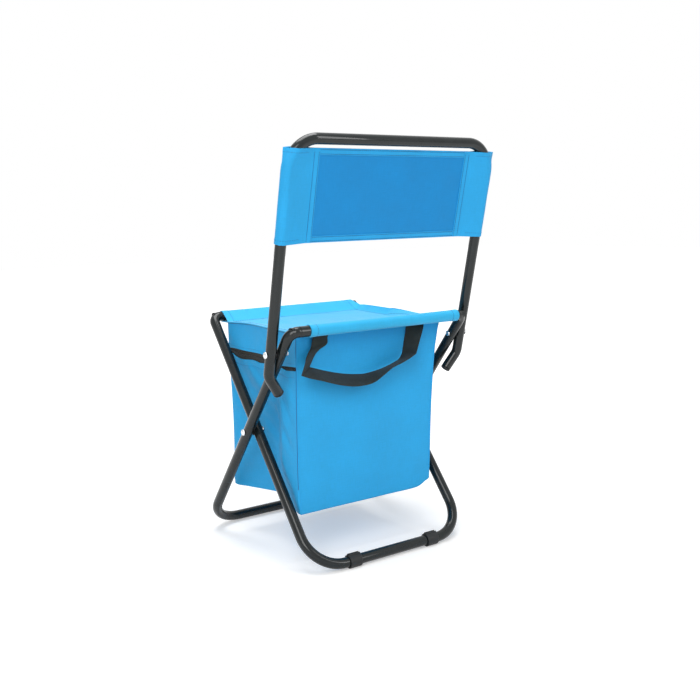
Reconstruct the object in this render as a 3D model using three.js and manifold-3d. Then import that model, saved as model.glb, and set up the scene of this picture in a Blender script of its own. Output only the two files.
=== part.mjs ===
// Folding stool with a backrest and a cooler bag hung under its seat.
// Millimetres. +X is the sitter's right, +Y is the way the sitter faces, +Z is up.
// The origin is on the floor under the middle of the whole stool's outline.
import * as THREE from 'three';
import { mergeVertices } from 'three/addons/utils/BufferGeometryUtils.js';
import Module from 'manifold-3d';

const wasm = await Module();
wasm.setup();

// Clearances
const touch_gap = 0.3; // left between pieces that touch
const cut_overrun = 5; // how far a cutting solid runs past what it cuts

// Tubes
const tube_diameter = 16;
const tube_wall = 1;
const tube_sides = 16;
const bore_sides = 12;
const elbow_steps = 6;
const corner_steps = 8;
const merge_reach = 1e-4; // corners closer than this are one corner

// Leg frames
const inner_leg_offset = 144; // middle plane to an inner leg's centre line
const pivot_height = 193;
const seat_bar_height = 359;
const rear_foot_reach = 152; // cross pivot back to the inner frame's foot bar
const front_foot_reach = 148; // cross pivot forward to the outer frame's foot bar
const foot_corner_radius = 55;
const elbow_radius = 13;
const elbow_stub = 2;
const spigot_diameter = 13.2;
const spigot_bore = 11;
const spigot_length = 18;
const spigot_shoulder = 1.5;

// Foot pads
const pad_wall = 2.1;
const pad_floor_wall = 1.7; // under the tube, where the pad is cut flat
const pad_length = 21;
const pad_offset = 74; // middle plane to a rear pad's middle
const pad_sides = 18;
const pad_lip_height = 3.8; // lips beside the pad's slit, above the tube
const pad_lip_thickness = 1.9;
const pad_slit = 2.4;

// Rivets and washers
const rivet_diameter = 6;
const rivet_head_diameter = 10;
const rivet_head_height = 2.6;
const rivet_roll_diameter = 9;
const rivet_roll_height = 1.4;
const rivet_sides = 16;
const washer_thickness = 0.5;
const washer_diameter = 14;

// Backrest
const back_pivot_drop = 32; // seat bars down to the backrest's rivets
const back_lean_degrees = 13.6;
const back_rise = 304.5; // pivot to the top bar's centre line
const back_corner_radius = 43.6;
const back_tail_drop = 34; // pivot to the inward bend
const back_tip_drop = 60.7; // pivot to the end of the tail
const back_tip_inset = 18.2; // how far the tail comes in
const back_tail_radius = 20;
const cap_length = 4;
const cap_plug_length = 8;
const cap_rim_height = 1;

// Backrest panel
const panel_low = 161.5; // pivot to the panel's lower edge
const panel_drop = 12.3; // top bar's centre line down to the panel's upper edge
const pocket_depth = 49.5; // outer edge to the seam
const pocket_seam = 9; // flat sewn part inside the seam
const fabric_thickness = 1;
const hem_height = 9.6;
const hem_thickness = 2;
const mesh_thickness = 0.8;

// Seat cover
const sleeve_thickness = 1.2;
const rear_sleeve_left = 130;
const rear_sleeve_right = 147;
const front_sleeve_left = 128;
const front_sleeve_right = 130;
const seat_left = 128;
const seat_right = 135;
const seat_thickness = 1.6;
const seat_shoulder_depth = 13; // bar top down to the level part
const seat_shoulder_setback = 24; // bar centre in to the level part
const seat_sag = 4;
const seat_sag_steps = 8;
const split_gap = 0.8; // between a sleeve's flap and the seat panel
const sleeve_start_share = -0.375; // of a full turn, from the level inward side
const sleeve_turn_share = 0.625; // of a full turn, how far the sleeve's outside goes round

// Cooler bag
const bag_top_left = 130;
const bag_top_right = 132;
const bag_bottom_left = 131;
const bag_bottom_right = 118;
const bag_front = 112;
const bag_rear = 100;
const bag_depth = 227; // zip down to the bag's bottom
const zip_drop = 53; // seat bars down to the zip
const zip_gap = 12; // between the lid band and the bag body
const foam_thickness = 4;
const foam_drop = 8; // bag edge down to the foam's edge
const lining_thickness = 0.8;
const band_top_clearance = 0.6;

// Zip
const tape_overlap = 5; // tape behind the fabric's edge
const tape_thickness = 0.8;
const tape_end_setback = 6; // tape ends short of the rear panel
const coil_height = 5;
const coil_thickness = 1.4;
const slider_length = 11;
const slider_height = 12;
const slider_thickness = 3;
const slider_spacing = 14; // between the two closed sliders' centres
const slider_corner = 3;
const staple_bar_diameter = 1.6;
const staple_inside = 5.6;
const staple_reach = 3.2; // slider face to the bar's centre
const tab_ring_wall = 1;
const tab_length = 24;
const tab_thickness = 1.2;
const tab_top_width = 4.6;
const tab_bottom_width = 7;

// Webbing handle, as [x, drop below the seat bars, width seen from behind] along the strap
const webbing_thickness = 2.4;
const handle_route = [
  [-101.5, 12, 28],
  [-107, 37, 20],
  [-117, 60, 13],
  [-84, 72, 15],
  [-46, 84, 15],
  [-12, 86, 14],
  [28, 74, 14],
  [62, 58, 26],
  [82, 20, 28],
];

// Derived sizes
const tube_radius = tube_diameter / 2;
const bore_radius = tube_radius - tube_wall;
const side_step = tube_diameter + washer_thickness + 2 * touch_gap;
const outer_leg_offset = inner_leg_offset + side_step;
const back_offset = outer_leg_offset + side_step;
const foot_height = tube_radius + touch_gap + pad_floor_wall;
const foot_drop = pivot_height - foot_height;
const bar_rise = seat_bar_height - pivot_height;
const back_pivot_height = seat_bar_height - back_pivot_drop;
const zip_height = seat_bar_height - zip_drop;
const bag_bottom_height = zip_height - bag_depth;
const inner_tilt = Math.atan2(rear_foot_reach, foot_drop);
const outer_tilt = Math.atan2(front_foot_reach, foot_drop);
const front_bar_reach = bar_rise * Math.tan(inner_tilt);
const rear_bar_reach = bar_rise * Math.tan(outer_tilt);
const back_pivot_reach = (back_pivot_height - pivot_height) * Math.tan(outer_tilt);
const back_lean = THREE.MathUtils.degToRad(back_lean_degrees);
const sleeve_inner_radius = tube_radius + touch_gap;
const sleeve_outer_radius = sleeve_inner_radius + sleeve_thickness;
const rivet_hole_radius = rivet_diameter / 2 + touch_gap;

const stool = new THREE.Group();

// Colours and finishes
const paint = { color: 0x2b3031, roughness: 0.28, metalness: 0.35 };
const bright_steel = { color: 0xd0d3d5, roughness: 0.25, metalness: 0.9 };
const blue_fabric = { color: 0x39a5e4, roughness: 0.85, metalness: 0 };
const blue_mesh = { color: 0x288cd0, roughness: 0.9, metalness: 0 };
const black_plastic = { color: 0x17191b, roughness: 0.55, metalness: 0 };
const black_webbing = { color: 0x1c1f24, roughness: 0.9, metalness: 0 };
const white_foam = { color: 0xe9ebec, roughness: 0.95, metalness: 0 };
const silver_lining = { color: 0xc3c8cc, roughness: 0.35, metalness: 0.5 };

// Turns a closed geometry into a solid for cutting and joining
function toSolid(geometry) {
  const bare = new THREE.BufferGeometry();
  bare.setAttribute('position', geometry.getAttribute('position').clone());
  if (geometry.index) bare.setIndex(geometry.index.clone());
  const merged = mergeVertices(bare, merge_reach);
  return new wasm.Manifold(new wasm.Mesh({
    numProp: 3,
    vertProperties: new Float32Array(merged.getAttribute('position').array),
    triVerts: new Uint32Array(merged.index.array),
  }));
}

// Turns a solid back into a geometry
function toGeometry(solid) {
  const mesh = solid.getMesh();
  const geometry = new THREE.BufferGeometry();
  geometry.setAttribute('position', new THREE.BufferAttribute(new Float32Array(mesh.vertProperties), 3));
  geometry.setIndex(new THREE.BufferAttribute(new Uint32Array(mesh.triVerts), 1));
  geometry.computeVertexNormals();
  return geometry;
}

function addPiece(parent, name, geometry, finish) {
  const mesh = new THREE.Mesh(geometry, new THREE.MeshStandardMaterial(finish));
  mesh.name = name;
  parent.add(mesh);
  return mesh;
}

function circlePoints(radius, sides) {
  const points = [];
  for (let i = 0; i < sides; i += 1) {
    const turn = (2 * Math.PI * (i + 0.5)) / sides;
    points.push(new THREE.Vector2(radius * Math.cos(turn), radius * Math.sin(turn)));
  }
  return points;
}

// A route whose sampled points are exactly its stations, so straight runs stay one step long
class StationRoute extends THREE.Curve {
  constructor(stations) {
    super();
    this.stations = stations;
  }

  getPoint(share, target = new THREE.Vector3()) {
    const last = this.stations.length - 1;
    return target.copy(this.stations[Math.round(share * last)].point);
  }

  getPointAt(share, target) {
    return this.getPoint(share, target);
  }

  getTangentAt(share, target = new THREE.Vector3()) {
    const last = this.stations.length - 1;
    return target.copy(this.stations[Math.round(share * last)].tangent);
  }
}

// A route through corners that are rounded by bends, in the XZ plane
function bentRoute(corners, radii, steps) {
  const stations = [];
  const first = corners[1].clone().sub(corners[0]).normalize();
  stations.push({ point: corners[0].clone(), tangent: first });
  for (let i = 1; i < corners.length - 1; i += 1) {
    const before = corners[i].clone().sub(corners[i - 1]).normalize();
    const after = corners[i + 1].clone().sub(corners[i]).normalize();
    const turn = before.angleTo(after);
    const setback = radii[i - 1] * Math.tan(turn / 2);
    const inward = after.clone().sub(before).normalize();
    const centre = corners[i].clone().addScaledVector(inward, radii[i - 1] / Math.cos(turn / 2));
    const start = corners[i].clone().addScaledVector(before, -setback);
    const spoke = start.clone().sub(centre);
    const hinge = before.clone().cross(after).normalize();
    for (let k = 0; k <= steps[i - 1]; k += 1) {
      const angle = (turn * k) / steps[i - 1];
      stations.push({
        point: centre.clone().add(spoke.clone().applyAxisAngle(hinge, angle)),
        tangent: before.clone().applyAxisAngle(hinge, angle),
      });
    }
  }
  const last = corners.length - 1;
  const final = corners[last].clone().sub(corners[last - 1]).normalize();
  stations.push({ point: corners[last].clone(), tangent: final });
  return new StationRoute(stations);
}

function tubeAlong(route, outerRadius, innerRadius) {
  const section = new THREE.Shape(circlePoints(outerRadius, tube_sides));
  section.holes.push(new THREE.Path(circlePoints(innerRadius, bore_sides)));
  return new THREE.ExtrudeGeometry(section, {
    steps: route.stations.length - 1,
    bevelEnabled: false,
    extrudePath: route,
  });
}

// A rod of round section along X, used to drill holes
function drillAlongX(radius, fromX, toX, y, z) {
  const rod = new THREE.CylinderGeometry(radius, radius, toX - fromX, bore_sides);
  rod.rotateZ(Math.PI / 2);
  rod.translate((fromX + toX) / 2, y, z);
  return toSolid(rod);
}

// A lathe profile of [radius, x] pairs turned about X
function turnedAlongX(profile, sides) {
  const points = profile.map(([radius, x]) => new THREE.Vector2(radius, x));
  const turned = new THREE.LatheGeometry(points, sides);
  turned.rotateZ(-Math.PI / 2);
  return turned;
}

function pushedOutline(shape, depth) {
  return new THREE.ExtrudeGeometry(shape, { depth, bevelEnabled: false, curveSegments: 1 });
}

// An outline in the YZ plane pushed along X; the outline's x is Y and its y is Z
function alongX(shape, fromX, toX) {
  const block = pushedOutline(shape, toX - fromX);
  block.rotateY(Math.PI / 2);
  block.rotateX(Math.PI / 2);
  block.translate(fromX, 0, 0);
  return block;
}

// An outline in the XZ plane pushed along Y
function alongY(shape, fromY, toY) {
  const block = pushedOutline(shape, toY - fromY);
  block.rotateX(Math.PI / 2);
  block.translate(0, toY, 0);
  return block;
}

// An outline in the XY plane pushed along Z
function alongZ(shape, fromZ, toZ) {
  const block = pushedOutline(shape, toZ - fromZ);
  block.translate(0, 0, fromZ);
  return block;
}

// A swaged end with its shoulder inside the tube, pointing along +X from x = 0
function spigotGeometry() {
  const bore = spigot_bore / 2;
  const outside = spigot_diameter / 2;
  const shoulder = (tube_radius + bore_radius) / 2;
  return turnedAlongX([
    [bore, -spigot_shoulder],
    [shoulder, -spigot_shoulder],
    [shoulder, 0],
    [outside, 0],
    [outside, spigot_length],
    [bore, spigot_length],
    [bore, -spigot_shoulder],
  ], bore_sides);
}

// Leg frame in its own plane: X across, Z up the legs, the cross pivot at z = 0
function legFrame(offset, barRise, footDrop, holeRises) {
  const stubX = offset - elbow_radius - elbow_stub;
  const corners = [
    new THREE.Vector3(-stubX, 0, barRise),
    new THREE.Vector3(-offset, 0, barRise),
    new THREE.Vector3(-offset, 0, -footDrop),
    new THREE.Vector3(offset, 0, -footDrop),
    new THREE.Vector3(offset, 0, barRise),
    new THREE.Vector3(stubX, 0, barRise),
  ];
  const radii = [elbow_radius, foot_corner_radius, foot_corner_radius, elbow_radius];
  const steps = [elbow_steps, corner_steps, corner_steps, elbow_steps];
  let frame = toSolid(tubeAlong(bentRoute(corners, radii, steps), tube_radius, bore_radius));
  for (const side of [-1, 1]) {
    const spigot = spigotGeometry();
    if (side > 0) spigot.rotateZ(Math.PI);
    spigot.translate(side * stubX, 0, barRise);
    frame = frame.add(toSolid(spigot));
  }
  const reach = offset + tube_radius + cut_overrun;
  for (const rise of holeRises) {
    frame = frame.subtract(drillAlongX(rivet_hole_radius, -reach, reach, 0, rise));
  }
  return toGeometry(frame);
}

function seatBar(offset) {
  const end = offset - elbow_radius - elbow_stub - touch_gap;
  const section = new THREE.Shape(circlePoints(tube_radius, tube_sides));
  section.holes.push(new THREE.Path(circlePoints(bore_radius, bore_sides)));
  return alongX(section, -end, end);
}

function arcPoints(radius, fromTurn, toTurn, steps) {
  const points = [];
  for (let i = 0; i <= steps; i += 1) {
    const turn = THREE.MathUtils.lerp(fromTurn, toTurn, i / steps);
    points.push(new THREE.Vector2(radius * Math.cos(turn), radius * Math.sin(turn)));
  }
  return points;
}

// Pad: a clip round the foot bar with a flat underside and a lipped slit on top
function footPad() {
  const inner = tube_radius + touch_gap;
  const outer = inner + pad_wall;
  const slitHalf = pad_slit / 2;
  const lipSide = slitHalf + pad_lip_thickness;
  const lipTop = tube_radius + pad_lip_height;
  const flatTurn = -Math.asin(foot_height / outer);
  const lipTurn = Math.acos(lipSide / outer);
  const slitTurn = Math.acos(slitHalf / inner);
  const section = new THREE.Shape([
    ...arcPoints(outer, flatTurn, lipTurn, pad_sides / 2),
    new THREE.Vector2(lipSide, lipTop),
    new THREE.Vector2(slitHalf, lipTop),
    ...arcPoints(inner, slitTurn, -Math.PI - slitTurn, pad_sides),
    new THREE.Vector2(-slitHalf, lipTop),
    new THREE.Vector2(-lipSide, lipTop),
    ...arcPoints(outer, Math.PI - lipTurn, Math.PI - flatTurn, pad_sides / 2),
  ]);
  return alongX(section, -pad_length / 2, pad_length / 2);
}

// Rivet along X: domed head beyond +X, rolled end beyond x = 0
function rivet(grip) {
  const shank = rivet_diameter / 2;
  const head = rivet_head_diameter / 2;
  const roll = rivet_roll_diameter / 2;
  const seat = grip + touch_gap;
  const dome_shares = [[1, 0.3], [0.88, 0.65], [0.6, 0.9], [0.25, 1]];
  const profile = [
    [0, -touch_gap - rivet_roll_height],
    [roll, -touch_gap - rivet_roll_height],
    [roll, -touch_gap],
    [shank, -touch_gap],
    [shank, seat],
    [head, seat],
  ];
  for (const [radiusShare, heightShare] of dome_shares) {
    profile.push([head * radiusShare, seat + rivet_head_height * heightShare]);
  }
  profile.push([0, seat + rivet_head_height]);
  return turnedAlongX(profile, rivet_sides);
}

function washer() {
  const hole = rivet_diameter / 2 + touch_gap;
  const rim = washer_diameter / 2;
  return turnedAlongX([
    [hole, 0],
    [rim, 0],
    [rim, washer_thickness],
    [hole, washer_thickness],
    [hole, 0],
  ], rivet_sides);
}

// Leg frames, each in a group that turns with its fold joint
const inner_group = new THREE.Group();
inner_group.position.z = pivot_height;
inner_group.rotation.x = -inner_tilt;
stool.add(inner_group);
const outer_group = new THREE.Group();
outer_group.position.z = pivot_height;
outer_group.rotation.x = outer_tilt;
stool.add(outer_group);

const inner_rise = bar_rise / Math.cos(inner_tilt);
const outer_rise = bar_rise / Math.cos(outer_tilt);
const inner_drop = foot_drop / Math.cos(inner_tilt);
const outer_drop = foot_drop / Math.cos(outer_tilt);
const back_pivot_rise = (back_pivot_height - pivot_height) / Math.cos(outer_tilt);

addPiece(inner_group, 'inner_leg_frame', legFrame(inner_leg_offset, inner_rise, inner_drop, [0]), paint);
addPiece(outer_group, 'outer_leg_frame',
  legFrame(outer_leg_offset, outer_rise, outer_drop, [0, back_pivot_rise]), paint);
addPiece(stool, 'front_seat_bar', seatBar(inner_leg_offset), paint)
  .position.set(0, front_bar_reach, seat_bar_height);
addPiece(stool, 'rear_seat_bar', seatBar(outer_leg_offset), paint)
  .position.set(0, -rear_bar_reach, seat_bar_height);

const pads = [
  ['rear_foot_pad_left', -pad_offset, -rear_foot_reach],
  ['rear_foot_pad_right', pad_offset, -rear_foot_reach],
  ['front_foot_pad', 0, front_foot_reach],
];
for (const [name, x, y] of pads) {
  addPiece(stool, name, footPad(), black_plastic).position.set(x, y, foot_height);
}

// Cross rivets hold inner to outer legs, backrest rivets hold the outer legs to the backrest
const pair_grip = side_step + tube_diameter;
for (const [side, sign] of [['left', -1], ['right', 1]]) {
  const joints = [
    ['cross', inner_leg_offset, 0, pivot_height],
    ['back', outer_leg_offset, -back_pivot_reach, back_pivot_height],
  ];
  for (const [row, offset, y, z] of joints) {
    const pin = addPiece(stool, `${row}_rivet_${side}`, rivet(pair_grip), bright_steel);
    pin.position.set(sign * (offset - tube_radius), y, z);
    const ring = addPiece(stool, `${row}_washer_${side}`, washer(), black_plastic);
    ring.position.set(sign * (offset + tube_radius + touch_gap), y, z);
    if (sign < 0) {
      pin.rotation.z = Math.PI;
      ring.rotation.z = Math.PI;
    }
  }
}

// Backrest, in a group that leans back about its rivets
const back_group = new THREE.Group();
back_group.position.set(0, -back_pivot_reach, back_pivot_height);
back_group.rotation.x = back_lean;
stool.add(back_group);

function backFrame() {
  const tip = back_offset - back_tip_inset;
  const corners = [
    new THREE.Vector3(-tip, 0, -back_tip_drop),
    new THREE.Vector3(-back_offset, 0, -back_tail_drop),
    new THREE.Vector3(-back_offset, 0, back_rise),
    new THREE.Vector3(back_offset, 0, back_rise),
    new THREE.Vector3(back_offset, 0, -back_tail_drop),
    new THREE.Vector3(tip, 0, -back_tip_drop),
  ];
  const radii = [back_tail_radius, back_corner_radius, back_corner_radius, back_tail_radius];
  const steps = [elbow_steps / 2, corner_steps, corner_steps, elbow_steps / 2];
  const frame = toSolid(tubeAlong(bentRoute(corners, radii, steps), tube_radius, bore_radius));
  const reach = back_offset + tube_radius + cut_overrun;
  return toGeometry(frame.subtract(drillAlongX(rivet_hole_radius, -reach, reach, 0, 0)));
}

// Cap: a plug inside the tube's end with a domed rim over it, its axis along +X
function endCap() {
  const plug = bore_radius * Math.cos(Math.PI / bore_sides) - touch_gap;
  const dome_shares = [[0.86, 0.6], [0.5, 0.92]];
  const profile = [
    [0, -cap_plug_length],
    [plug, -cap_plug_length],
    [plug, touch_gap],
    [tube_radius, touch_gap],
    [tube_radius, touch_gap + cap_rim_height],
  ];
  for (const [radiusShare, lengthShare] of dome_shares) {
    profile.push([tube_radius * radiusShare, touch_gap + cap_length * lengthShare]);
  }
  profile.push([0, touch_gap + cap_length]);
  return turnedAlongX(profile, bore_sides);
}

addPiece(back_group, 'back_frame', backFrame(), paint);
const tail_angle = Math.atan2(back_tip_drop - back_tail_drop, back_tip_inset);
for (const [side, sign] of [['left', -1], ['right', 1]]) {
  const cap = addPiece(back_group, `back_end_cap_${side}`, endCap(), black_plastic);
  cap.position.set(sign * (back_offset - back_tip_inset), 0, -back_tip_drop);
  cap.rotation.y = sign < 0 ? tail_angle : Math.PI - tail_angle;
}

// Pocket section in plan: round over the upright, wide enough for the top bend, then pinched to its seam
const panel_edge = back_offset + tube_radius + touch_gap + fabric_thickness;
const pocket_seam_x = panel_edge - pocket_depth;
const panel_top = back_rise - panel_drop;
const bend_depth = back_corner_radius - panel_drop;
const bend_inset = back_corner_radius - Math.sqrt(back_corner_radius ** 2 - bend_depth ** 2);
const bend_inner_inset = back_corner_radius
  - Math.sqrt((back_corner_radius - tube_radius) ** 2 - bend_depth ** 2);

function pocketOutline(radius, seamX, seamHalf) {
  const near = back_offset - (bend_inset + bend_inner_inset) / 2;
  const points = [];
  for (let i = 0; i <= corner_steps; i += 1) {
    const turn = -Math.PI / 2 + (Math.PI * i) / corner_steps;
    points.push(new THREE.Vector2(back_offset + radius * Math.cos(turn), radius * Math.sin(turn)));
  }
  points.push(new THREE.Vector2(near, radius));
  points.push(new THREE.Vector2(seamX, seamHalf));
  points.push(new THREE.Vector2(seamX, -seamHalf));
  points.push(new THREE.Vector2(near, -radius));
  return points;
}

function pocket() {
  const inner = tube_radius + touch_gap;
  const outer = inner + fabric_thickness;
  const section = new THREE.Shape(pocketOutline(outer, pocket_seam_x, fabric_thickness));
  section.holes.push(new THREE.Path(pocketOutline(inner, pocket_seam_x + pocket_seam, touch_gap)));
  return alongZ(section, panel_low, panel_top);
}

for (const [side, sign] of [['left', -1], ['right', 1]]) {
  const sleeve = addPiece(back_group, `back_pocket_${side}`, pocket(), blue_fabric);
  if (sign < 0) sleeve.rotation.z = Math.PI;
}
const span = 2 * (pocket_seam_x - touch_gap);
const strips = [
  ['back_hem_bottom', panel_low, panel_low + hem_height, hem_thickness, blue_fabric],
  ['back_mesh', panel_low + hem_height + touch_gap, panel_top - hem_height - touch_gap,
    mesh_thickness, blue_mesh],
  ['back_hem_top', panel_top - hem_height, panel_top, hem_thickness, blue_fabric],
];
for (const [name, low, high, thickness, finish] of strips) {
  const sheet = new THREE.BoxGeometry(span, thickness, high - low);
  addPiece(back_group, name, sheet, finish).position.z = (low + high) / 2;
}

// Seat cover: sleeves turn with the bars, the panel between them stays inside the bars' sweep
const front_sweep = inner_rise - sleeve_outer_radius;
const rear_sweep = outer_rise - sleeve_outer_radius;
const shoulder_top = seat_bar_height + sleeve_outer_radius - seat_shoulder_depth;

// Where the line from a bar's top to the panel's shoulder meets a circle round the cross pivot
function splitPoint(barReach, radius) {
  const top = new THREE.Vector2(barReach, seat_bar_height + sleeve_outer_radius - pivot_height);
  const low = new THREE.Vector2(barReach - seat_shoulder_setback, shoulder_top - pivot_height);
  const run = low.clone().sub(top);
  const a = run.lengthSq();
  const b = 2 * top.dot(run);
  const c = top.lengthSq() - radius * radius;
  const share = (-b - Math.sqrt(b * b - 4 * a * c)) / (2 * a);
  return top.addScaledVector(run, share).add(new THREE.Vector2(0, pivot_height));
}

// Sleeve round a bar with a flap towards the seat, outlined for a bar forward of the pivot
function sleeveSection(barReach, sweep) {
  const flap = splitPoint(barReach, sweep + split_gap / 2);
  const outline = [];
  for (let i = 0; i <= tube_sides; i += 1) {
    const turn = 2 * Math.PI * (sleeve_start_share + (sleeve_turn_share * i) / tube_sides);
    outline.push(new THREE.Vector2(
      barReach + sleeve_outer_radius * Math.cos(turn),
      seat_bar_height + sleeve_outer_radius * Math.sin(turn),
    ));
  }
  outline.push(flap);
  outline.push(flap.clone().sub(new THREE.Vector2(0, sleeve_thickness)));
  const section = new THREE.Shape(outline);
  const hole = circlePoints(sleeve_inner_radius, tube_sides)
    .map((point) => point.add(new THREE.Vector2(barReach, seat_bar_height)));
  section.holes.push(new THREE.Path(hole));
  return section;
}

addPiece(stool, 'seat_sleeve_front',
  alongX(sleeveSection(front_bar_reach, front_sweep), -front_sleeve_left, front_sleeve_right),
  blue_fabric);
const rear_sleeve = addPiece(stool, 'seat_sleeve_rear',
  alongX(sleeveSection(rear_bar_reach, rear_sweep), -rear_sleeve_right, rear_sleeve_left),
  blue_fabric);
rear_sleeve.rotation.z = Math.PI;

function seatPanelSection() {
  const front = splitPoint(front_bar_reach, front_sweep - split_gap / 2);
  const rear = splitPoint(rear_bar_reach, rear_sweep - split_gap / 2);
  const frontShoulder = front_bar_reach - seat_shoulder_setback;
  const rearShoulder = seat_shoulder_setback - rear_bar_reach;
  const top = [front];
  for (let i = 0; i <= seat_sag_steps; i += 1) {
    const share = i / seat_sag_steps;
    const y = THREE.MathUtils.lerp(frontShoulder, rearShoulder, share);
    const sag = 4 * seat_sag * share * (1 - share);
    top.push(new THREE.Vector2(y, shoulder_top - sag));
  }
  top.push(new THREE.Vector2(-rear.x, rear.y));
  const under = top.map((point) => new THREE.Vector2(point.x, point.y - seat_thickness)).reverse();
  return new THREE.Shape([...top, ...under].reverse());
}

addPiece(stool, 'seat_panel', alongX(seatPanelSection(), -seat_left, seat_right), blue_fabric);

// A block whose bottom and top rectangles are given as [left, right, rear, front] places
function taperedBlock(bottom, top, lowZ, highZ) {
  const block = new THREE.BoxGeometry(1, 1, 1);
  const places = block.getAttribute('position');
  for (let i = 0; i < places.count; i += 1) {
    const high = places.getZ(i) > 0;
    const [left, right, rear, front] = high ? top : bottom;
    places.setXYZ(
      i,
      places.getX(i) > 0 ? right : left,
      places.getY(i) > 0 ? front : rear,
      high ? highZ : lowZ,
    );
  }
  return block;
}

const bag_top_height = zip_height - zip_gap / 2;

// The bag's rectangle at a height, drawn in by an inset on every side
function bagRectangle(z, inset) {
  const share = (z - bag_bottom_height) / (bag_top_height - bag_bottom_height);
  const left = THREE.MathUtils.lerp(bag_bottom_left, bag_top_left, share);
  const right = THREE.MathUtils.lerp(bag_bottom_right, bag_top_right, share);
  return [inset - left, right - inset, inset - bag_rear, bag_front - inset];
}

// An open-topped tray: outer block less an inner block that runs out of its top
function tray(inset, wall, topZ) {
  const low = bag_bottom_height + inset;
  const floor = low + wall;
  const high = topZ + cut_overrun;
  const within = inset + wall;
  const outer = taperedBlock(bagRectangle(low, inset), bagRectangle(topZ, inset), low, topZ);
  const hollow = taperedBlock(bagRectangle(floor, within), bagRectangle(high, within), floor, high);
  return toSolid(outer).subtract(toSolid(hollow));
}

// A strip in plan that runs up the left side, along the front and down the right side
function threeSides(outer, inner, rear) {
  return new THREE.Shape([
    new THREE.Vector2(outer[0], rear),
    new THREE.Vector2(inner[0], rear),
    new THREE.Vector2(inner[0], inner[3]),
    new THREE.Vector2(inner[1], inner[3]),
    new THREE.Vector2(inner[1], rear),
    new THREE.Vector2(outer[1], rear),
    new THREE.Vector2(outer[1], outer[3]),
    new THREE.Vector2(outer[0], outer[3]),
  ]);
}

function insetBy([left, right, rear, front], distance) {
  return [left + distance, right - distance, rear + distance, front - distance];
}

// The rear panel of the bag runs on up to the seat and is the lid's hinge
const band_low = zip_height + zip_gap / 2;
const band_high = shoulder_top - seat_sag - seat_thickness - band_top_clearance;
const top_rectangle = bagRectangle(bag_top_height, 0);
const hinge_panel = new THREE.BoxGeometry(
  top_rectangle[1] - top_rectangle[0],
  fabric_thickness,
  band_high - bag_top_height + cut_overrun,
);
hinge_panel.translate(
  (top_rectangle[0] + top_rectangle[1]) / 2,
  fabric_thickness / 2 - bag_rear,
  (band_high + bag_top_height - cut_overrun) / 2,
);
const foam_inset = fabric_thickness + touch_gap;
const lining_inset = foam_inset + foam_thickness + touch_gap;
const foam_top = bag_top_height - foam_drop;
const cover = tray(0, fabric_thickness, bag_top_height).add(toSolid(hinge_panel));
addPiece(stool, 'bag_cover', toGeometry(cover), blue_fabric);
addPiece(stool, 'bag_foam', toGeometry(tray(foam_inset, foam_thickness, foam_top)), white_foam);
addPiece(stool, 'bag_lining', toGeometry(tray(lining_inset, lining_thickness, foam_top)), silver_lining);

// Lid band: left, front and right walls from the zip up to the seat panel's underside
const band_rear = foam_inset - bag_rear;
const band_plan = threeSides(top_rectangle, insetBy(top_rectangle, fabric_thickness), band_rear);
addPiece(stool, 'lid_band', alongZ(band_plan, band_low, band_high), blue_fabric);

const tape_half = zip_gap / 2 + tape_overlap;
const tape_face = bagRectangle(zip_height - tape_half, fabric_thickness + touch_gap);
const zip_rear = tape_end_setback - bag_rear;
const tape_plan = threeSides(tape_face, insetBy(tape_face, tape_thickness), zip_rear);
addPiece(stool, 'zip_tape',
  alongZ(tape_plan, zip_height - tape_half, zip_height + tape_half), black_webbing);
const coil_inner = insetBy(tape_face, -touch_gap);
const coil_plan = threeSides(insetBy(coil_inner, -coil_thickness), coil_inner, zip_rear);
addPiece(stool, 'zip_teeth',
  alongZ(coil_plan, zip_height - coil_height / 2, zip_height + coil_height / 2), black_plastic);

// Zip slider: rounded plate and a staple that holds the pull tab
function roundedPlate(length, height, corner) {
  const shape = new THREE.Shape();
  const x = length / 2;
  const z = height / 2;
  shape.moveTo(-x + corner, -z);
  shape.lineTo(x - corner, -z);
  shape.lineTo(x, -z + corner);
  shape.lineTo(x, z - corner);
  shape.lineTo(x - corner, z);
  shape.lineTo(-x + corner, z);
  shape.lineTo(-x, z - corner);
  shape.lineTo(-x, -z + corner);
  return shape;
}

const staple_leg = staple_bar_diameter;
const tab_ring_outer = staple_bar_diameter / 2 + touch_gap + tab_ring_wall;

function zipSlider() {
  const plate = roundedPlate(slider_length, slider_height, slider_corner);
  const barY = slider_thickness + staple_reach;
  const half = staple_inside / 2 + staple_leg;
  const bar = drillAlongX(staple_bar_diameter / 2, -half, half, barY, 0);
  let slider = toSolid(alongY(plate, 0, slider_thickness)).add(bar);
  const legReach = staple_reach + slider_thickness / 2;
  for (const sign of [-1, 1]) {
    const leg = new THREE.BoxGeometry(staple_leg, legReach, staple_bar_diameter);
    leg.translate((sign * (staple_inside + staple_leg)) / 2, barY - legReach / 2, 0);
    slider = slider.add(toSolid(leg));
  }
  return toGeometry(slider);
}

// Pull tab: a ring round the staple bar and a plate that hangs from it
function pullTab() {
  const hole = staple_bar_diameter / 2 + touch_gap;
  const ring = turnedAlongX([
    [hole, -tab_top_width / 2],
    [tab_ring_outer, -tab_top_width / 2],
    [tab_ring_outer, tab_top_width / 2],
    [hole, tab_top_width / 2],
    [hole, -tab_top_width / 2],
  ], bore_sides);
  const start = hole + tab_ring_wall / 2;
  const plate = new THREE.Shape([
    new THREE.Vector2(-tab_bottom_width / 2, -tab_length),
    new THREE.Vector2(tab_bottom_width / 2, -tab_length),
    new THREE.Vector2(tab_top_width / 2, -start),
    new THREE.Vector2(-tab_top_width / 2, -start),
  ]);
  const blade = alongY(plate, -tab_thickness / 2, tab_thickness / 2);
  return toGeometry(toSolid(ring).add(toSolid(blade)));
}

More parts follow.
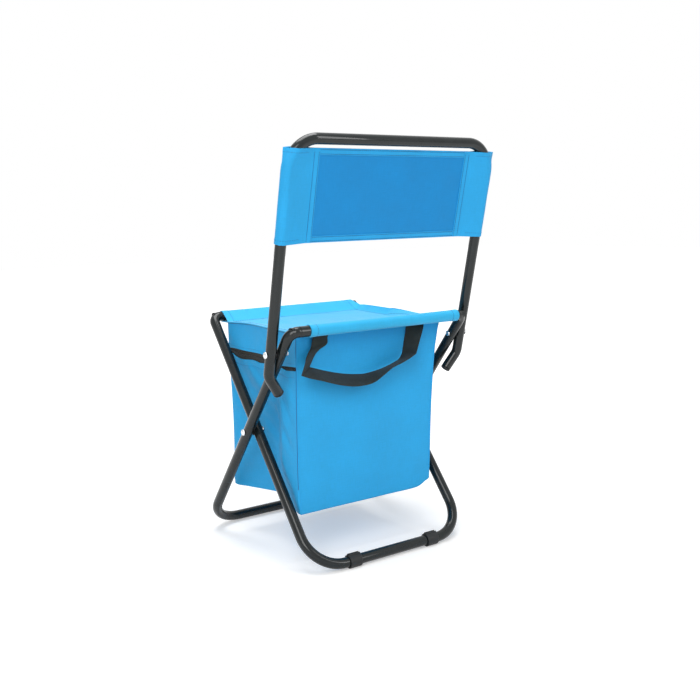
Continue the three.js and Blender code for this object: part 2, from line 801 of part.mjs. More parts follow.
const slider_back = coil_inner[3] + coil_thickness + touch_gap;
for (const [side, sign] of [['left', -1], ['right', 1]]) {
  const x = (sign * slider_spacing) / 2;
  addPiece(stool, `zip_slider_${side}`, zipSlider(), bright_steel).position.set(x, slider_back, zip_height);
  addPiece(stool, `zip_pull_${side}`, pullTab(), bright_steel)
    .position.set(x, slider_back + slider_thickness + staple_reach, zip_height);
}

// Webbing handle: a loop of strap sewn on at its two upper ends
function ribbonShape(route) {
  const places = route.map(([x, drop]) => new THREE.Vector2(x, seat_bar_height - drop));
  const upper = [];
  const lower = [];
  places.forEach((here, i) => {
    const before = here.clone().sub(places[Math.max(i - 1, 0)]).normalize();
    const after = places[Math.min(i + 1, places.length - 1)].clone().sub(here).normalize();
    const along = before.clone().add(after).normalize();
    const across = new THREE.Vector2(-along.y, along.x);
    const fold = Math.max(along.dot(before), along.dot(after));
    const reach = route[i][2] / 2 / fold;
    upper.push(here.clone().addScaledVector(across, reach));
    lower.push(here.clone().addScaledVector(across, -reach));
  });
  return new THREE.Shape([...upper, ...lower.reverse()]);
}

const webbing_face = -bag_rear - touch_gap;
addPiece(stool, 'webbing_handle',
  alongY(ribbonShape(handle_route), webbing_face - webbing_thickness, webbing_face), black_webbing);

// Put the origin under the middle of the outline
stool.updateMatrixWorld(true);
const outline_box = new THREE.Box3().setFromObject(stool, true);
stool.position.y = -(outline_box.min.y + outline_box.max.y) / 2;

export default stool;
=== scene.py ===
from math import acos, asin, atan2, cos, degrees, exp, hypot, pi, radians, sin, sqrt, tan

import bpy
from mathutils import Matrix, Vector, noise


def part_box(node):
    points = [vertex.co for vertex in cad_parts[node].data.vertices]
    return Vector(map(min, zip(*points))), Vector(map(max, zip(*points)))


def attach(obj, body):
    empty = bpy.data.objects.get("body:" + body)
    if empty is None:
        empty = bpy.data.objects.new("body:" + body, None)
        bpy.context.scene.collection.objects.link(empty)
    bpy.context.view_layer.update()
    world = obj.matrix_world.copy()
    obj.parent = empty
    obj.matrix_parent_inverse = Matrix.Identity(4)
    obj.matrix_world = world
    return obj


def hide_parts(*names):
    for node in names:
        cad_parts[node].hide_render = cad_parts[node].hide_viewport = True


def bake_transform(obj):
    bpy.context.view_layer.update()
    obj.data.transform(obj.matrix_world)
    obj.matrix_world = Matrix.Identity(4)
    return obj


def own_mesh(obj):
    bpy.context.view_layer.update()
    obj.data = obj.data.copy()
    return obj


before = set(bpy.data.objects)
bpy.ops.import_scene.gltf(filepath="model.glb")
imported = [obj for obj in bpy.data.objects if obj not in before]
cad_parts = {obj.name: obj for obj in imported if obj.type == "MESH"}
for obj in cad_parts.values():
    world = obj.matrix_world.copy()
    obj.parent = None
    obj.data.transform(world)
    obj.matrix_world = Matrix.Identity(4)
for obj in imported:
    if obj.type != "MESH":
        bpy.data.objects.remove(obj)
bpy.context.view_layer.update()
scene = bpy.context.scene

# The object's lengths are millimetres in a frame that starts under the cross pivot. Floor, lamps,
# camera and materials use metres. +X is the sitter's right, +Y the way the sitter faces, +Z up.
MM = 0.001
UP = Vector((0, 0, 1))
RIGHT = Vector((1, 0, 0))
SIDES = (("left", -1), ("right", 1))
washer_low, washer_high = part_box("cross_washer_left")
PIVOT_Y = (washer_low.y + washer_high.y) / 2

# Leg frames and seat bars
TUBE_RADIUS = 8
TUBE_WALL = 1
TUBE_RIM = 0.8  # bevel of an open tube's end
TUBE_DEPTH = 14  # how far the bore is made
TOUCH_GAP = 0.3
BEND_STEPS = 20
INNER_OFFSET = 144
OUTER_OFFSET = 161.1
BACK_OFFSET = 178.2
PIVOT_HEIGHT = 193
BAR_HEIGHT = 359
FOOT_HEIGHT = 10
REAR_FOOT_REACH = 152
FRONT_FOOT_REACH = 148
FOOT_CORNER = 55
ELBOW_RADIUS = 13
ELBOW_STUB = 2
PAD_OFFSET = 74
FOOT_DROP = PIVOT_HEIGHT - FOOT_HEIGHT
BAR_RISE = BAR_HEIGHT - PIVOT_HEIGHT
INNER_TILT = atan2(REAR_FOOT_REACH, FOOT_DROP)
OUTER_TILT = atan2(FRONT_FOOT_REACH, FOOT_DROP)
FRONT_BAR_Y = BAR_RISE * tan(INNER_TILT)
REAR_BAR_Y = -BAR_RISE * tan(OUTER_TILT)

# Backrest
BACK_PIVOT_HEIGHT = 327
BACK_PIVOT_Y = -(BACK_PIVOT_HEIGHT - PIVOT_HEIGHT) * tan(OUTER_TILT)
BACK_LEAN = radians(13.6)
BACK_RISE = 304.5
BACK_CORNER = 43.6
TAIL_BEND = 20
TAIL_TIP = BACK_OFFSET - 18.2
TAIL_DROP = -34
TIP_DROP = -60.7
PANEL_LOW = 161.5
PANEL_HIGH = 292.2
PANEL_ROWS = 44
HEM_ROWS = 3
HEM = 9.6
HEM_THICKNESS = 2
STITCH_INSET = 1.6
EDGE_INSET = 2
SEAM_INSET = 2.6
SEAM_MARGIN = 1
STRIP_LIFT = 1.25
HEM_LIFT = 0.25
HEM_GAP = 0.15
POCKET_SEWN = slice(6, -6)  # the points of a pocket's row that carry thread
MESH_THICKNESS = 0.5
MESH_HALF = 136
MESH_INSET = 4
POCKET_SEAM = 141
POCKET_EDGE = 187.2
STRIP_EDGE = 129.5

# Seat and bag
CLOTH = 0.7
FOLDED = 1.9  # thickness of a folded edge, in cloths
THREAD_LIFT = 0.5
SLEEVE_RADIUS = TUBE_RADIUS + 0.1 + CLOTH / 2
FRONT_SHOULDER = 112
REAR_SHOULDER = 106
BAG_REAR = -100
BAG_FRONT = 112
BAG_LOW = 78
BAG_MIDDLE = Vector((-6, 6))
SEAT_LEVEL = 346  # the bag's plan is measured up to here
SEAT_GAP = 1.1
FOAM_INSET, FOAM_THICKNESS, FOAM_TOP = 4.4, 3.6, 285
FILM_INSET, FILM_THICKNESS, FILM_TOP = 7.2, 0.6, 286


def place(point):
    """A design point in millimetres as a point of the shared frame in metres."""
    return Vector((point[0] * MM, point[1] * MM + PIVOT_Y, point[2] * MM))


def mix(a, b, share):
    return a + (b - a) * share


def spaced(a, b, steps):
    """Values from a to b in even steps."""
    return [mix(a, b, k / steps) for k in range(steps + 1)]


def line_on(start, end, steps):
    """Even (a, b) points of a straight line, without its first one."""
    return list(zip(spaced(start[0], end[0], steps), spaced(start[1], end[1], steps)))[1:]


def ease(share):
    share = min(max(share, 0), 1)
    return share * share * (3 - 2 * share)


def ripple(a, b, c, height):
    """Smooth unevenness of cloth at a place measured in ripple lengths."""
    return noise.noise(Vector((a, b, c))) * height


def curve_at(stations, at):
    """A smooth value between [place, value] stations, level beyond the first and last."""
    if at <= stations[0][0]:
        return stations[0][1]
    if at >= stations[-1][0]:
        return stations[-1][1]
    last = len(stations) - 1
    i = next(k for k in range(last) if at <= stations[k + 1][0])

    def slope(k):
        (x0, y0), (x1, y1) = stations[max(k - 1, 0)], stations[min(k + 1, last)]
        return (y1 - y0) / (x1 - x0)

    (x0, y0), (x1, y1) = stations[i], stations[i + 1]
    run = x1 - x0
    s = (at - x0) / run
    return (
        y0 * (1 + 2 * s) * (1 - s) ** 2
        + slope(i) * run * s * (1 - s) ** 2
        + y1 * s * s * (3 - 2 * s)
        - slope(i + 1) * run * s * s * (1 - s)
    )


def arc(radius, start, end, steps):
    """Points (a, b) of a circle's arc, angles in degrees."""
    turns = [radians(turn) for turn in spaced(start, end, steps)]
    return [(radius * cos(t), radius * sin(t)) for t in turns]


def bent_path(corners, radii, steps):
    """Stations (point, tangent) of straight runs joined by round bends."""
    corners = [Vector(corner) for corner in corners]
    path = [(corners[0], (corners[1] - corners[0]).normalized())]
    for before, corner, after, radius in zip(corners, corners[1:], corners[2:], radii):
        inward = (corner - before).normalized()
        outward = (after - corner).normalized()
        turn = inward.angle(outward)
        centre = corner + (outward - inward).normalized() * radius / cos(turn / 2)
        spoke = corner - inward * radius * tan(turn / 2) - centre
        hinge = inward.cross(outward).normalized()
        for k in range(steps + 1):
            spin = Matrix.Rotation(turn * k / steps, 3, hinge)
            path.append((centre + spin @ spoke, spin @ inward))
    path.append((corners[-1], outward))
    return path


def tube_rings(path):
    """Stations (centre, tangent, radius) of an open-ended tube with a bevelled rim."""
    outer, rim, bore = TUBE_RADIUS, TUBE_RADIUS - TUBE_RIM, TUBE_RADIUS - TUBE_WALL
    first, along = path[0]
    rings = [(first + along * TUBE_DEPTH, along, bore), (first, along, bore)]
    rings += [(first, along, rim), (first + along * TUBE_RIM, along, outer)]
    rings += [(point, tangent, outer) for point, tangent in path[1:-1]]
    last, along = path[-1]
    rings += [(last - along * TUBE_RIM, along, outer), (last, along, rim)]
    return rings + [(last, along, bore), (last - along * TUBE_DEPTH, along, bore)]


def rows_normals(rows, wrap=False):
    """The unit normal at each point of a grid of points."""
    height, width = len(rows), len(rows[0])
    normals = []
    for i, row in enumerate(rows):
        above, below = rows[min(i + 1, height - 1)], rows[max(i - 1, 0)]
        line = []
        for j in range(width):
            after = (j + 1) % width if wrap else min(j + 1, width - 1)
            before = j - 1 if wrap else max(j - 1, 0)
            line.append((row[after] - row[before]).cross(above[j] - below[j]).normalized())
        normals.append(line)
    return normals


def lengths_along(points, wrap=False):
    """The distance travelled at each point, with the closing run added if it wraps."""
    travelled = [0.0]
    for before, after in zip(points, points[1:] + points[:1] if wrap else points[1:]):
        travelled.append(travelled[-1] + (after - before).length)
    return travelled


def along_line(line, travelled, distance):
    """The point at a distance along a line, and the index of the line's point after it."""
    k = next((k for k in range(1, len(line)) if travelled[k] >= distance), len(line) - 1)
    share = (distance - travelled[k - 1]) / max(travelled[k] - travelled[k - 1], 1e-9)
    return line[k - 1].lerp(line[k], share), k


def add_object(name, data):
    made = bpy.data.objects.new(name, data)
    scene.collection.objects.link(made)
    return made


SHARP_ANGLE = radians(42)


class Piece:
    """Faces gathered in millimetres that become one object with its own map."""

    def __init__(self, name, *finishes):
        self.name = name
        self.finishes = finishes
        self.points = []
        self.faces = []
        self.face_uvs = []
        self.face_finishes = []

    def face(self, corners, uvs, finish=0):
        self.faces.append(tuple(corners))
        self.face_uvs.append(uvs)
        self.face_finishes.append(finish)

    def grid(self, rows, finish=0, wrap=False, flip=False):
        """Faces between rows of points, mapped by their real lengths."""
        base = len(self.points)
        width = len(rows[0])
        for row in rows:
            self.points.extend(row)
        across = lengths_along(rows[len(rows) // 2], wrap)
        up = lengths_along([row[width // 2] for row in rows])
        turn = -1 if flip else 1
        for i in range(len(rows) - 1):
            for j in range(width if wrap else width - 1):
                after = (j + 1) % width
                low, high = base + i * width, base + (i + 1) * width
                corners = [low + j, low + after, high + after, high + j]
                uvs = [(across[a], up[b]) for a, b in ((j, i), (j + 1, i), (j + 1, i + 1), (j, i + 1))]
                self.face(corners[::turn], uvs[::turn], finish)

    def rings(self, stations, normal, finish=0, sides=32, capped=False):
        """A tube through (centre, tangent, radius) stations."""
        start = len(self.points)
        turns = [2 * pi * k / sides for k in range(sides)]
        rows = []
        for centre, tangent, radius in stations:
            across = tangent.cross(normal).normalized()
            side = across.cross(tangent).normalized()
            rows.append([centre + (side * cos(t) + across * sin(t)) * radius for t in turns])
        self.grid(rows, finish, wrap=True)
        end = len(self.points)
        caps = (range(start + sides - 1, start - 1, -1), range(end - sides, end)) if capped else ()
        for cap in caps:
            self.face(cap, [(0, 0)] * sides, finish)

    def turned(self, profile, origin, axis):
        """A profile of (radius, place) pairs turned about an axis."""
        least = 0.02
        stations = [(origin + axis * along, axis, max(radius, least)) for radius, along in profile]
        self.rings(stations, axis.orthogonal().normalized())

    def sheet(self, rows, thickness, wrap=False):
        """Cloth about a grid of points, its thickness a number or a function of row and column."""
        normals = rows_normals(rows, wrap)
        height, width = len(rows), len(rows[0])
        thick = thickness if callable(thickness) else lambda i, j: thickness
        start = len(self.points)
        for sign in (0.5, -0.5):
            self.grid(
                [[rows[i][j] + normals[i][j] * sign * thick(i, j) for j in range(width)]
                 for i in range(height)], wrap=wrap, flip=sign < 0,
            )
        back = start + height * width
        top = (height - 1) * width
        columns = range(width if wrap else width - 1)
        border = [((j + 1) % width, j) for j in columns]
        border += [(top + j, top + (j + 1) % width) for j in columns]
        if not wrap:
            border += [(i * width, (i + 1) * width) for i in range(height - 1)]
            border += [((i + 2) * width - 1, (i + 1) * width - 1) for i in range(height - 1)]
        for a, b in border:
            run = (self.points[start + b] - self.points[start + a]).length
            uvs = [(0, 0), (run, 0), (run, CLOTH), (0, CLOTH)]
            self.face((start + a, start + b, back + b, back + a), uvs)

    def slab(self, outline, to_space, low, high, bevel):
        """An outline of (a, b) pairs given depth from low to high, its long edges bevelled."""
        count = len(outline)
        inset = []
        for k, (a, b) in enumerate(outline):
            (a0, b0), (a1, b1) = outline[k - 1], outline[(k + 1) % count]
            run = hypot(a1 - a0, b1 - b0)
            inset.append((a - (b1 - b0) / run * bevel, b + (a1 - a0) / run * bevel))
        start = len(self.points)
        layers = ((inset, low), (outline, low + bevel), (outline, high - bevel), (inset, high))
        self.grid([[to_space(a, b, depth) for a, b in line] for line, depth in layers], wrap=True)
        for first in (start, start + 3 * count):
            self.face(range(first, first + count), inset)

    def stitches(self, line, outs, finish=1, lift=0.0, pitch=3.4, length=2.5, radius=0.36):
        """Thread along a line of points, lifted off the surface along its normals."""
        line = [point + out * lift for point, out in zip(line, outs)]
        travelled = lengths_along(line)
        shape = ((0, -0.6, 0.5), (0.2, 0.5, 1), (0.8, 0.5, 1), (1, -0.6, 0.5))
        for n in range(int(travelled[-1] / pitch)):
            a, k = along_line(line, travelled, n * pitch)
            b, _ = along_line(line, travelled, n * pitch + length)
            along = (b - a).normalized()
            self.rings(
                [(a.lerp(b, s) + outs[k] * radius * rise, along, radius * size) for s, rise, size in shape],
                outs[k], finish, sides=6, capped=True,
            )

    def build(self, body, slot, *nodes):
        """Makes the object, rides it on a body and lets it stand for CAD nodes."""
        mesh = bpy.data.meshes.new(self.name)
        mesh.from_pydata([place(point) for point in self.points], [], self.faces)
        layer = mesh.uv_layers.new(name="cloth")
        layer.data.foreach_set("uv", [n * MM for uvs in self.face_uvs for pair in uvs for n in pair])
        for finish in self.finishes:
            mesh.materials.append(finish)
        mesh.polygons.foreach_set("material_index", self.face_finishes)
        mesh.validate()
        mesh.shade_smooth()
        mesh.set_sharp_from_angle(angle=SHARP_ANGLE)
        piece = add_object(self.name, mesh)
        if body:
            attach(piece, body)
        if nodes:
            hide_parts(*nodes)
        return piece


def set_inputs(tree, node, inputs):
    """Gives each named input of a node its number, colour or link."""
    for name, value in inputs.items():
        if isinstance(value, bpy.types.NodeSocket):
            tree.links.new(value, node.inputs[name])
        else:
            node.inputs[name].default_value = value


def add_node(tree, kind, inputs, **settings):
    node = tree.nodes.new("ShaderNode" + kind)
    for name, value in settings.items():
        setattr(node, name, value)
    set_inputs(tree, node, inputs)
    return node


def combine(tree, operation, a, b):
    return add_node(tree, "Math", {0: a, 1: b}, operation=operation).outputs[0]


def ramp(tree, value, low, high, to_low, to_high):
    """A value's range turned into another range."""
    inputs = {"Value": value, "From Min": low, "From Max": high, "To Min": to_low, "To Max": to_high}
    return add_node(tree, "MapRange", inputs).outputs["Result"]


class Finish:
    """A procedural material under construction."""

    def __init__(self, name, roughness, metallic=0.0, **values):
        self.material = bpy.data.materials.new(name)
        self.material.use_nodes = True
        self.tree = self.material.node_tree
        self.set(Metallic=metallic, Roughness=roughness, **values)
        self.height = None
        self.uv = add_node(self.tree, "UVMap", {}, uv_map="cloth").outputs["UV"]

    def set(self, **values):
        """Sets the surface's inputs by their names, with _ for a space."""
        inputs = {name.replace("_", " "): value for name, value in values.items()}
        set_inputs(self.tree, self.tree.nodes["Principled BSDF"], inputs)

    def noise(self, scale, detail=3.0, across=1.0, along=1.0):
        """Noise of a scale per metre, squeezed across or along the cloth."""
        mapping = add_node(self.tree, "Mapping", {"Vector": self.uv, "Scale": (across, along, 1)})
        inputs = {"Vector": mapping.outputs["Vector"], "Scale": scale, "Detail": detail}
        return add_node(self.tree, "TexNoise", inputs).outputs["Fac"]

    def wave(self, direction, pitch):
        """Bands one pitch apart, in metres."""
        inputs = {"Vector": self.uv, "Scale": pi / 10 / pitch, "Distortion": 0.4}
        return add_node(self.tree, "TexWave", inputs, bands_direction=direction).outputs["Fac"]

    def math(self, operation, a, b):
        return combine(self.tree, operation, a, b)

    def spread(self, value, *ranges):
        return ramp(self.tree, value, *ranges)

    def colour(self, dark, light, share):
        inputs = {"Factor": share, "A": (*dark, 1), "B": (*light, 1)}
        self.set(Base_Color=add_node(self.tree, "Mix", inputs, data_type="RGBA").outputs["Result"])

    def bump(self, height, distance, strength=1.0):
        """Adds relief of a height in metres to what the surface already has."""
        inputs = {"Height": height, "Distance": distance, "Strength": strength}
        if self.height:
            inputs["Normal"] = self.height
        self.height = add_node(self.tree, "Bump", inputs).outputs["Normal"]
        self.set(Normal=self.height)


def scaled(colour, share):
    return tuple(channel * share for channel in colour)


def fabric(name, colour, pitch, contrast, sheen=0.02):
    """Plain weave with uneven threads, soft creases and slight fading."""
    made = Finish(name, 0.55, Sheen_Weight=sheen, Sheen_Roughness=0.4, Specular_IOR_Level=0.15)
    weave = made.math("MULTIPLY", made.wave("X", pitch), made.wave("Y", pitch))
    streak = 14
    warp = made.noise(60, 2, across=streak)
    weft = made.noise(60, 2, along=streak)
    patch = made.noise(16, 3)
    threads = made.math("MULTIPLY", made.math("ADD", warp, weft), 0.5)
    share = made.math("ADD", made.math("MULTIPLY", threads, 0.6), made.math("MULTIPLY", patch, 0.4))
    share = made.math("SUBTRACT", share, made.math("MULTIPLY", weave, contrast))
    made.colour(scaled(colour, 0.84), scaled(colour, 1.12), made.spread(share, 0.2, 0.75, 0, 1))
    made.set(Roughness=made.spread(patch, 0.3, 0.7, 0.42, 0.6))
    made.bump(made.noise(38, 3), 0.0014, 0.35)
    made.bump(threads, 0.0004, 0.5)
    made.bump(weave, 0.00012, 0.6)
    return made.material


def mottled(name, dark, light, scale, roughness, bump, metallic=0.0, **values):
    """A moulded, painted or metal surface with fine grain and uneven gloss."""
    made = Finish(name, roughness, metallic, **values)
    grain = made.noise(scale, 4)
    wear = made.noise(40, 4)
    made.colour(dark, light, made.spread(wear, 0.3, 0.7, 0, 1))
    made.set(Roughness=made.spread(wear, 0.3, 0.7, roughness * 0.8, roughness * 1.25))
    made.bump(grain, bump, 0.4)
    return made.material


def webbing(name, colour, rib):
    """Ribs across the strap with a coarse twill along it."""
    made = Finish(name, 0.7, Sheen_Weight=0.08, Specular_IOR_Level=0.2)
    ribs = made.wave("Y", rib)
    twill = made.wave("DIAGONAL", rib * 0.9)
    share = made.math("ADD", made.math("MULTIPLY", ribs, 0.6), made.math("MULTIPLY", twill, 0.4))
    worn = made.math("ADD", share, made.noise(90, 3))
    made.colour(scaled(colour, 0.6), scaled(colour, 1.5), made.spread(worn, 0.4, 1.6, 0, 1))
    made.bump(share, 0.0005, 0.7)
    return made.material


paint = mottled(
    "frame_paint", (0.005, 0.008, 0.0085), (0.01, 0.014, 0.0145), 900, 0.28, 0.00004,
    Specular_IOR_Level=0.08, Coat_Weight=0.55, Coat_Roughness=0.05,
)
zinc = mottled("rivet_steel", (0.62, 0.63, 0.64), (0.82, 0.83, 0.84), 500, 0.22, 0.00005, 1.0)
plastic = mottled(
    "black_plastic", (0.012, 0.013, 0.014), (0.024, 0.026, 0.027), 700, 0.45, 0.0001,
    Specular_IOR_Level=0.3,
)
enamel = mottled("zip_metal", (0.03, 0.032, 0.034), (0.06, 0.063, 0.066), 400, 0.3, 0.0001, 0.4)
blue = fabric("blue_fabric", (0.03, 0.4, 0.8), 0.0008, 0.12)
# The seat is the bag's cloth; this lighter, greener copy is painted light for its brightly lit top.
seat_blue_painted_lit = fabric("seat_fabric_painted_lit", (0.035, 0.45, 0.79), 0.0008, 0.12, 0.25)
mesh_blue = fabric("blue_mesh", (0.014, 0.27, 0.64), 0.0013, 0.35)
# Real stitches, and also the dark cords that are painted shade at the rear corners and under the seat's edge.
thread = mottled("blue_thread_and_shade_lines", (0.008, 0.09, 0.26), (0.014, 0.14, 0.36), 2500, 0.6, 0.0001)
thread_pale = mottled("pale_thread", (0.014, 0.22, 0.5), (0.022, 0.3, 0.64), 2500, 0.6, 0.0001)
strap_black = webbing("black_webbing", (0.021, 0.026, 0.0235), 0.0016)
tape_black = fabric("zip_tape", (0.026, 0.028, 0.024), 0.0006, 0.3, 0.1)
foam_white = mottled("white_foam", (0.75, 0.76, 0.77), (0.87, 0.88, 0.89), 260, 0.85, 0.0006)
silver = mottled("silver_lining", (0.5, 0.52, 0.54), (0.7, 0.72, 0.74), 120, 0.3, 0.0008, 0.7)

# Profiles are (radius, place) pairs along the axis that they are turned about
SWAGE = [(5.5, -1.5), (7.4, -1.5), (7.4, 0), (6.6, 0), (6.6, 17.5), (6.2, 18), (5.5, 18)]


def leg_frame(name, offset, tilt, forward, body, node):
    def to_space(x, rise):
        return Vector((x, forward * rise * sin(tilt), PIVOT_HEIGHT + rise * cos(tilt)))

    stub = offset - ELBOW_RADIUS - ELBOW_STUB
    bar = BAR_RISE / cos(tilt)
    foot = -FOOT_DROP / cos(tilt)
    left = [(-stub, bar), (-offset, bar), (-offset, foot)]
    corners = left + [(-x, rise) for x, rise in reversed(left)]
    radii = [ELBOW_RADIUS, FOOT_CORNER, FOOT_CORNER, ELBOW_RADIUS]
    path = bent_path([to_space(*corner) for corner in corners], radii, BEND_STEPS)
    piece = Piece(name, paint)
    piece.rings(tube_rings(path), Vector((0, forward * cos(tilt), -sin(tilt))))
    for side in (-1, 1):
        piece.turned(SWAGE, to_space(side * stub, bar), RIGHT * -side)
    return piece.build(body, "frame_paint", node)


def seat_bar(name, offset, y, body):
    end = offset - ELBOW_RADIUS - ELBOW_STUB - TOUCH_GAP
    path = [(Vector((x, y, BAR_HEIGHT)), RIGHT) for x in (-end, 0, end)]
    piece = Piece(name + "_tube", paint)
    piece.rings(tube_rings(path), UP)
    return piece.build(body, "frame_paint", name)


leg_frame("inner_leg_tube", INNER_OFFSET, INNER_TILT, 1, "inner_frame", "inner_leg_frame")
leg_frame("outer_leg_tube", OUTER_OFFSET, OUTER_TILT, -1, "outer_frame", "outer_leg_frame")
seat_bar("front_seat_bar", INNER_OFFSET, FRONT_BAR_Y, "inner_frame")
seat_bar("rear_seat_bar", OUTER_OFFSET, REAR_BAR_Y, "outer_frame")


def foot_pad(name, x, y, body):
    """A moulded clip with a flat underside and a lipped slit on top."""
    inner, outer, half_length, bevel, lip_round, slit_round = 8.15, 10.4, 10.5, 0.6, 0.5, 0.4
    flat = degrees(asin(FOOT_HEIGHT / outer))
    lip, slit, top = 3.1, 1.2, 11.8
    lip_turn = degrees(acos(lip / outer))
    slit_turn = degrees(acos(slit / inner))
    rim = [(lip, top - bevel), (lip - lip_round, top), (slit + slit_round, top), (slit, top - lip_round)]
    outline = arc(outer, -flat, lip_turn, 14) + rim
    outline += arc(inner, slit_turn, -180 - slit_turn, 36) + [(-a, b) for a, b in reversed(rim)]
    outline += arc(outer, 180 - lip_turn, 180 + flat, 14)
    piece = Piece(name + "_clip", plastic)
    piece.slab(
        outline, lambda a, b, depth: Vector((x + depth, y + a, FOOT_HEIGHT + b)),
        -half_length, half_length, bevel,
    )
    return piece.build(body, "black_plastic", name)


foot_pad("rear_foot_pad_left", -PAD_OFFSET, -REAR_FOOT_REACH, "inner_frame")
foot_pad("rear_foot_pad_right", PAD_OFFSET, -REAR_FOOT_REACH, "inner_frame")
foot_pad("front_foot_pad", 0, FRONT_FOOT_REACH, "outer_frame")

RIVET = [
    (0, -1.5), (2.2, -1.5), (2.6, -1.1), (3.2, -1.6), (4.1, -1.6), (4.5, -1.2), (4.5, -0.6), (4.2, -0.3),
    (3, -0.3), (3, 33.6), (4.7, 33.6), (5, 33.9), (5, 34.3), (4.7, 34.9), (4.1, 35.4), (3.2, 35.85),
    (2.1, 36.1), (1, 36.2), (0, 36.25),
]
WASHER = [(3.3, 0), (6.8, 0), (7, 0.15), (7, 0.35), (6.8, 0.5), (3.3, 0.5), (3.3, 0)]
for side, sign in SIDES:
    for row, offset, y, z, pin_body in (
        ("cross", INNER_OFFSET, 0, PIVOT_HEIGHT, "seat_and_bag"),
        ("back", OUTER_OFFSET, BACK_PIVOT_Y, BACK_PIVOT_HEIGHT, "outer_frame"),
    ):
        outward = RIGHT * sign
        pin = Piece(f"{row}_rivet_pin_{side}", zinc)
        pin.turned(RIVET, Vector((sign * (offset - TUBE_RADIUS), y, z)), outward)
        pin.build(pin_body, "rivet_steel", f"{row}_rivet_{side}")
        ring = Piece(f"{row}_spacer_{side}", plastic)
        ring.turned(WASHER, Vector((sign * (offset + TUBE_RADIUS + TOUCH_GAP), y, z)), outward)
        ring.build(pin_body, "black_plastic", f"{row}_washer_{side}")


def back_place(x, w, v):
    """A point of the leaning backrest: across, forward of its plane, up its uprights."""
    return Vector((
        x,
        BACK_PIVOT_Y + w * cos(BACK_LEAN) - v * sin(BACK_LEAN),
        BACK_PIVOT_HEIGHT + w * sin(BACK_LEAN) + v * cos(BACK_LEAN),
    ))


BACK_OUT = back_place(0, 1, 0) - back_place(0, 0, 0)
back_left = [(-TAIL_TIP, TIP_DROP), (-BACK_OFFSET, TAIL_DROP), (-BACK_OFFSET, BACK_RISE)]
back_corners = back_left + [(-x, v) for x, v in reversed(back_left)]
back_points = [back_place(x, 0, v) for x, v in back_corners]
back_path = bent_path(back_points, [TAIL_BEND, BACK_CORNER, BACK_CORNER, TAIL_BEND], BEND_STEPS)
back_tube = Piece("back_tube", paint)
back_tube.rings(tube_rings(back_path), BACK_OUT)
back_tube.build("backrest", "frame_paint", "back_frame")
CAP = [
    (6.5, -8), (6.6, 0.25), (7.8, 0.3), (8, 0.5), (8, 1.4), (7.5, 2.4), (6.4, 3.3), (4.4, 3.9), (2, 4.2),
    (0, 4.3),
]
for side, (tip, along), sign in (("left", back_path[0], -1), ("right", back_path[-1], 1)):
    cap = Piece(f"back_end_plug_{side}", plastic)
    cap.turned(CAP, tip, along * sign)
    cap.build("backrest", "black_plastic", f"back_end_cap_{side}")


def pocket_section(v):
    """The (across, out) line of a pocket at a height: strip, slope, round the tube, outer edge."""
    seam_half, edge_half, off_tube = 0.75, 0.2, 0.75
    past = max(v - (BACK_RISE - BACK_CORNER), 0)
    centre = BACK_OFFSET - BACK_CORNER + sqrt(BACK_CORNER**2 - past**2)
    flat = sqrt(1 - (past / BACK_CORNER) ** 2)
    radius = TUBE_RADIUS + off_tube
    slope_turn = pi - acos(radius / ((centre - POCKET_SEAM) * flat))
    reach = (POCKET_EDGE - centre) * flat
    edge_turn = acos(radius / reach) if reach > radius else 0
    around = [
        (centre + radius * cos(t) / flat, radius * sin(t))
        for t in spaced(slope_turn, edge_turn, 14)
    ]
    seam = (POCKET_SEAM, seam_half)
    strip = [(x, seam_half) for x in spaced(STRIP_EDGE, POCKET_SEAM, 4)]
    rim = line_on(around[-1], (POCKET_EDGE, edge_half), 3)
    half = strip + line_on(seam, around[0], 8)[:-1] + around + rim
    return half + [(x, -w) for x, w in reversed(half[:-1])]


for side, sign in SIDES:
    pocket = Piece(f"back_pocket_cloth_{side}", blue, thread)
    rows = []
    for v in spaced(PANEL_LOW, PANEL_HIGH, PANEL_ROWS):
        line = []
        for x, w in pocket_section(v):
            pull = ripple(x / 14, v / 30, sign * 3 + w / 20, 0.5)
            line.append(back_place(sign * x, w + pull * ease(abs(w) / 6), v))
        rows.append(line)
    pocket.sheet(rows, lambda i, j: CLOTH * (1 if HEM_ROWS <= i <= PANEL_ROWS - HEM_ROWS else FOLDED))
    for w, out in ((STRIP_LIFT, BACK_OUT), (-STRIP_LIFT, -BACK_OUT)):
        for x in (POCKET_SEAM - SEAM_INSET, STRIP_EDGE + STITCH_INSET):
            ends = (PANEL_LOW + SEAM_MARGIN, PANEL_HIGH - SEAM_MARGIN)
            line = [back_place(sign * x, w, v) for v in spaced(*ends, 40)]
            pocket.stitches(line, [out] * len(line))
    for k in (HEM_ROWS - 1, PANEL_ROWS - HEM_ROWS + 1):
        outs = [-n * sign for n in rows_normals(rows)[k]]
        pocket.stitches(rows[k][POCKET_SEWN], outs[POCKET_SEWN], lift=CLOTH / 2)
    pocket_object = pocket.build("backrest", "blue_fabric", f"back_pocket_{side}")


def back_sheet(piece, low, high, half_width, thickness, lines=()):
    """Flat cloth of the backrest with lines of stitches on both faces."""
    rows = [
        [back_place(x, ripple(x / 40, v / 30, 7, 0.5), v) for x in spaced(-half_width, half_width, 48)]
        for v in spaced(low, high, 8)
    ]
    piece.sheet(rows, thickness)
    lift = thickness / 2 + HEM_LIFT
    for v in lines:
        for w, out in ((lift, BACK_OUT), (-lift, -BACK_OUT)):
            line = [back_place(x, w, v) for x in spaced(-half_width, half_width, 40)]
            piece.stitches(line, [out] * len(line))


def back_hem(name, low, stitched, node):
    piece = Piece(name, blue, thread)
    back_sheet(piece, low, low + HEM, STRIP_EDGE - HEM_GAP, HEM_THICKNESS, stitched)
    return piece.build("backrest", "blue_fabric", node)


